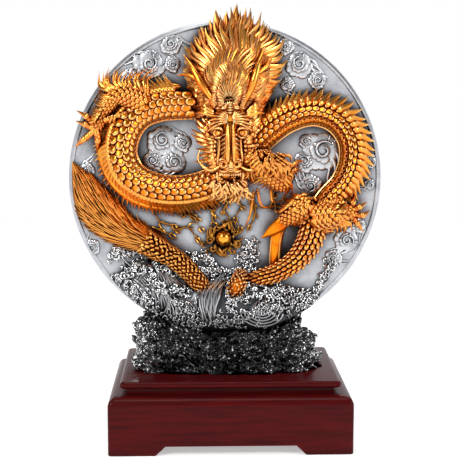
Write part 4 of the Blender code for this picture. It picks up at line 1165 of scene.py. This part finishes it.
def makeFlames(material):
    plan = flamePlan
    dice = random.Random(17)
    bm = bmesh.new()
    wide = plan["branchWidth"]
    for branch in plan["branches"]:
        last = len(branch) - 1
        rows = [(a, b, 0.010 + 0.012 * (number % 2), wide * (1.15 - 0.75 * number / last))
                for number, (a, b) in enumerate(branch)]
        strand(bm, rows, 8 * last, 8, 1.0)
        for number in range(1, last + 1):  # twigs fork off at each bend and curl up at the end
            ahead = math.atan2(branch[number][1] - branch[number - 1][1],
                               branch[number][0] - branch[number - 1][0])
            for side in (-1, 1):
                turn = ahead + side * math.radians(dice.uniform(35, 70))
                length = plan["twig"] * dice.uniform(0.6, 1.2)
                twig = [(branch[number][0] + length * s * math.cos(turn - side * 0.9 * s),
                         branch[number][1] + length * s * math.sin(turn - side * 0.9 * s), 0.014, wide * w)
                        for s, w in ((0, 0.7), (0.35, 0.8), (0.7, 0.5), (1.0, 0.12))]
                strand(bm, twig, 12, 6, 1.0)
    across, up, _, radius = plan["pearl"]
    for number in range(plan["flames"]):  # flames all round the pearl, no two alike
        angle = math.radians(-150 + 300 * number / (plan["flames"] - 1) + 90) + dice.uniform(-0.12, 0.12)
        reach = dice.uniform(0.020, 0.095)
        bend = dice.choice((-1, 1, 1)) * dice.uniform(0.6, 1.9)
        rows = []
        for s, w in ((0, 0.8), (0.4, 1.0), (0.75, 0.6), (1.0, 0.1)):
            turn = angle + bend * s * s * 0.6
            rows.append((across + (radius * 0.9 + reach * s) * math.cos(turn),
                         up + (radius * 0.9 + reach * s) * math.sin(turn),
                         0.020 + dice.uniform(0.0, 0.022) * math.sin(math.pi * s), 0.0105 * w))
        strand(bm, rows, 12, 8, 0.9)
    for a, b, size, hand in plan["curls"]:
        strand(bm, spiral(a, b, size, hand, 1.2, 0.030, 0.0080, 90, 12, 0.4), 22, 8)
    return finishPiece(bm, "pearl_flames", material, "dragon")


def makePearl(material):
    across, up, proud, radius = flamePlan["pearl"]
    bm = bmesh.new()
    dome(bm, (across, up, proud), (radius, radius, radius), None, 32, 48)
    return finishPiece(bm, "pearl_polished", material, "pearl")


tailPlan = {
    "stem": ((-0.080, -0.820, 0.06, 0.016), (-0.104, -0.770, 0.10, 0.030), (-0.158, -0.691, 0.12, 0.044),
             (-0.227, -0.610, 0.11, 0.048), (-0.317, -0.530, 0.09, 0.051), (-0.420, -0.461, 0.08, 0.056),
             (-0.520, -0.400, 0.06, 0.064)),
    "core": ((-0.42, -0.44, 0.02, 0.060), (-0.60, -0.34, 0.01, 0.085), (-0.80, -0.18, 0.00, 0.085),
             (-0.94, 0.00, 0.00, 0.030)),
    # locks of the plume: how many along and across it, length, spread, how proud
    "hairs": (24, 17), "hairLength": 0.15, "hairSpread": 0.42, "thick": 0.080,
    # the plume's upper and lower edge
    "upper": ((-0.330, -0.425), (-0.433, -0.350), (-0.580, -0.255), (-0.709, -0.125), (-0.856, 0.025),
              (-0.975, 0.110)),
    "lower": ((-0.400, -0.530), (-0.484, -0.480), (-0.619, -0.440), (-0.745, -0.395), (-0.850, -0.325),
              (-0.918, -0.250), (-0.958, -0.160), (-0.972, -0.020), (-0.975, 0.110)),
    "hump": ((0.055, -0.790, 0.13, 0.040), (0.066, -0.715, 0.17, 0.046), (0.092, -0.655, 0.14, 0.042),
             (0.100, -0.610, 0.08, 0.030)),
}


def scaledStem(bm, dice, rows, size):  # rough scales with curled points, no two alike
    stem = BodyLine(rows, 400, 2.0)
    strand(bm, rows, 60, 24, 1.0, 0, 0, 0.25)
    for number, degrees in enumerate(range(-80, 81, 20)):
        for share in np.arange(0.02 + 0.5 * (number % 2) * size * 1.4 / stem.length, 0.97,
                               size * 1.4 / stem.length):
            spot, ahead, normal, radius = stem.spot(stem.share(share), degrees + dice.uniform(-5, 5))
            fit = radius / 0.055 * dice.uniform(0.8, 1.15)
            across = np.cross(ahead, normal) * dice.uniform(-0.6, 0.6)
            tip = spot + (ahead + across) * size * 1.5 * fit + normal * size * 0.8 * fit
            rows = ((*(spot - normal * size * 0.3), size * 0.42 * fit),
                    (*(spot + ahead * size * 0.7 * fit + normal * size * 0.35 * fit), size * 0.50 * fit),
                    (*tip, size * 0.12))
            strand(bm, rows, 7, 8, 0.9)


def makeTail(material):
    plan = tailPlan
    dice = random.Random(29)
    bm = bmesh.new()
    scaledStem(bm, dice, plan["stem"], 0.022)
    stem = BodyLine(plan["stem"], 400, 2.0)
    for side in (-1, 1):  # short fur along both edges of the stem
        for share in np.linspace(0.12, 0.97, 34):
            spot, ahead, normal, _ = stem.spot(stem.share(share), side * 78)
            tip = spot + ahead * 0.050 + normal * 0.026 * dice.uniform(0.7, 1.2)
            tip[2] = 0.012
            rows = ((*spot, 0.010), (*((spot + tip) / 2 + normal * 0.006), 0.009), (*tip, 0.0015))
            strand(bm, rows, 10, 8, 0.9)
    upper, lower = smoothRows(plan["upper"], 400), smoothRows(plan["lower"], 400)
    along, over = plan["hairs"]
    for row in range(along):
        for lane in range(over):
            s0 = (row + dice.uniform(-0.4, 0.4)) / along
            v0 = 0.03 + 0.94 * (lane + 0.5 + dice.uniform(-0.3, 0.3)) / over
            rows = []
            raised = dice.uniform(-0.006, 0.012)
            for t, w in ((0, 0.7), (0.3, 1.0), (0.65, 0.75), (1.0, 0.10)):
                s = min(max(s0 + plan["hairLength"] * t, 0.0), 1.0)
                v = v0 + (v0 - 0.5) * plan["hairSpread"] * t * t
                at = int(s * 399)
                spot = lower[at] * (1 - v) + upper[at] * v
                gap = math.dist(lower[at], upper[at])
                bulge = math.sqrt(max(0.0, 1 - (2 * v - 1) ** 2))
                height = plan["thick"] * (1 - 0.72 * s) * bulge + 0.012 + raised * (0.4 + t)
                rows.append((*spot, height, max(gap / over * 0.55, 0.0035) * w))
            strand(bm, rows, 12, 8, 1.2, 3, 0.15)
    return finishPiece(bm, "dragon_tail_plume", material, "dragon_tail")


def makeTailCore(material):
    bm = bmesh.new()
    strand(bm, tailPlan["core"], 30, 24, 0.75)
    return finishPiece(bm, "dragon_tail_core", material, "dragon_tail")


def makeHump(material):
    bm = bmesh.new()
    scaledStem(bm, random.Random(3), tailPlan["hump"], 0.020)
    return finishPiece(bm, "dragon_hump_scales", material, "dragon_hump")


studioPlan = {
    "cameraAt": (-0.019, -0.8125, 0.2568), "pitch": 7.715, "yaw": 1.575, "lens": 90.1,
    # name, place, target, width, height, watts
    "lights": (
        ("key softbox", (-0.75, -0.95, 0.95), (0, 0, 0.17), 0.28, 0.50, 10),
        ("fill softbox", (0.95, -0.75, 0.65), (0, 0, 0.17), 0.25, 0.44, 5.5),
        ("top softbox", (0.0, -0.20, 1.20), (0, 0, 0.15), 0.70, 0.35, 3.5),
        ("back softbox", (0.25, 1.05, 0.85), (0, 0, 0.10), 0.90, 0.60, 5),
    ),
    # share of the way up, grey
    "worldGreys": ((0.0, 1.0), (0.22, 1.0), (0.34, 0.26), (0.55, 0.12), (1.0, 0.34)),
}


def makeStudio():
    plan = studioPlan
    bm = bmesh.new()
    bmesh.ops.create_circle(bm, cap_ends=True, segments=96, radius=1.25)
    floor = addObject(bm, "studio_floor")
    floor.data.materials.append(floorMaterial())
    for name, at, target, width, height, watts in plan["lights"]:
        lamp = bpy.data.lights.new(name, "AREA")
        lamp.shape = "RECTANGLE"
        lamp.size, lamp.size_y, lamp.energy = width, height, watts
        light = bpy.data.objects.new(name, lamp)
        light.location = at
        light.rotation_euler = (Vector(target) - Vector(at)).to_track_quat("-Z", "Y").to_euler()
        scene.collection.objects.link(light)
    world = bpy.data.worlds.new("studio")
    world.use_nodes = True
    tree = world.node_tree
    coords = addNode(tree, "TexCoord")
    parts = addNode(tree, "SeparateXYZ", links={"Vector": (coords, "Generated")})
    ramp = addNode(tree, "ValToRGB", links={"Fac": (parts, "Z")})
    for number, (at, grey) in enumerate(plan["worldGreys"]):
        stop = ramp.color_ramp.elements[number] if number < 2 else ramp.color_ramp.elements.new(at)
        stop.position = at
        stop.color = (grey, grey, grey * 1.01, 1)
    back = tree.nodes["Background"]
    tree.links.new(ramp.outputs["Color"], back.inputs["Color"])
    back.inputs["Strength"].default_value = 1.0
    scene.world = world
    lens = bpy.data.cameras.new("camera")
    lens.lens, lens.sensor_width, lens.clip_start = plan["lens"], 36.0, 0.01
    camera = bpy.data.objects.new("camera", lens)
    camera.location = plan["cameraAt"]
    camera.rotation_euler = (math.radians(90 - plan["pitch"]), 0, math.radians(-plan["yaw"]))
    scene.collection.objects.link(camera)
    scene.camera = camera
    scene.view_settings.view_transform = "Standard"
    print("studio")


metalPlan = {
    # for each metal: its finish; tones of edges (painted highlight and wear), open faces, darker patches,
    # slopes and hollows (patina with painted shade); roughness; how far a hollow reaches in mm, where its
    # dark starts and ends; grain in mm, its depth;
    # the heights between which the rock's black fades
    # antiqued gilding on bronze: yellow-white edges, orange faces, red-orange slopes, red-brown hollows
    "scales": ("antiqued gilt, scales", ("#FFEAA8", "#F09A28", "#DC7014", "#B84407", "#240801"), 0.23,
               (5.5, 0.40, 0.96)),
    "hair": ("antiqued gilt, hair", ("#FFEAA6", "#F2A030", "#E0761A", "#B44208", "#2A0A02"), 0.25,
             (6.0, 0.42, 0.97)),
    "skin": ("antiqued gilt, skin", ("#FFD67C", "#EA8618", "#D65E0C", "#B23C06", "#2E0B02"), 0.26,
             (5.0, 0.36, 0.94)),
    "plume": ("antiqued gilt, plume", ("#FFD680", "#E4850F", "#D26A0A", "#A83C04", "#280B02"), 0.27,
              (3.5, 0.50, 0.96)),
    "fins": ("antiqued gilt, fins", ("#FFE6A4", "#F0981F", "#E68018", "#D86A14", "#4A1804"), 0.26,
             (3.2, 0.28, 0.84)),
    "face": ("antiqued gilt, face", ("#FFECB0", "#F8AC3E", "#E8821E", "#CA5412", "#3C1305"), 0.25,
             (4.0, 0.32, 0.90)),
    "fire": ("blackened gilt, flames", ("#F2B552", "#94511A", "#5E2D0D", "#361806", "#0C0502"), 0.28,
             (4.0, 0.36, 0.94)),
    # a darker copy of the gilt: painted shade on the cores that lie under the mane and the plume
    "under": ("stained gilt under the hair", ("#D26A14", "#A8400A", "#8A2E06", "#5A1A04", "#200702"), 0.40,
              (5.0, 0.30, 0.90)),
    # gold polished like a mirror, with hardly any stain
    "pearl": ("polished gold", ("#FFE2A0", "#F0A63C", "#E89A30", "#B05A10", "#7A3408"), 0.08,
              (2.0, 0.10, 0.50),
              3.0, 0.02),
    # pewter, left grey-white on the high places and blacked in the hollows; on the plain ground the long
    # reach also lays painted shade round the relief
    "plain": ("brushed pewter", ("#E2E3E5", "#C4C6CA", "#AFB1B6", "#696C72", "#15161A"), 0.40,
              (14.0, 0.30, 0.92),
              0.8, 0.12),
    "clouds": ("wiped pewter clouds", ("#EEEFF1", "#CDCFD2", "#BCBEC2", "#6E7176", "#08090B"), 0.32,
               (3.0, 0.48, 0.97), 1.0, 0.2),
    "waves": ("wiped pewter waves", ("#FFFFFF", "#CDCFD3", "#A6A9AE", "#505358", "#050506"), 0.24,
              (2.6, 0.45, 0.95), 1.2, 0.25, (0.074, 0.106)),
    "swells": ("blacked pewter under the waves", ("#A4A6AA", "#74767A", "#54565A", "#27282B", "#060607"),
               0.34,
               (4.0, 0.34, 0.95), 1.2, 0.25, (0.080, 0.112)),
}
metals = {key: castMetal(*settings) for key, settings in metalPlan.items()}

makePlinth(lacquerMaterial())
makeRock(rockMaterial())
makeDisc(metals["plain"])
makeClouds(metals["clouds"])
makeSeaGround(metals["swells"])
makeSea(metals["waves"])
makeBody(metals["scales"])
makeFins(metals["fins"])
makeLegs(metals["skin"])
makeMane(metals["hair"])
# the mane's core takes the darker gilt: painted shade seen between the locks
makeManeCore(metals["under"])
makeHead(metals["face"])
makeFlames(metals["fire"])
makePearl(metals["pearl"])
makeTail(metals["plume"])
# the plume's core takes the darker gilt: painted shade seen between the locks
makeTailCore(metals["under"])
makeHump(metals["scales"])
makeStudio()

for mould, _ in ballMoulds.values():
    bpy.data.meshes.remove(mould)
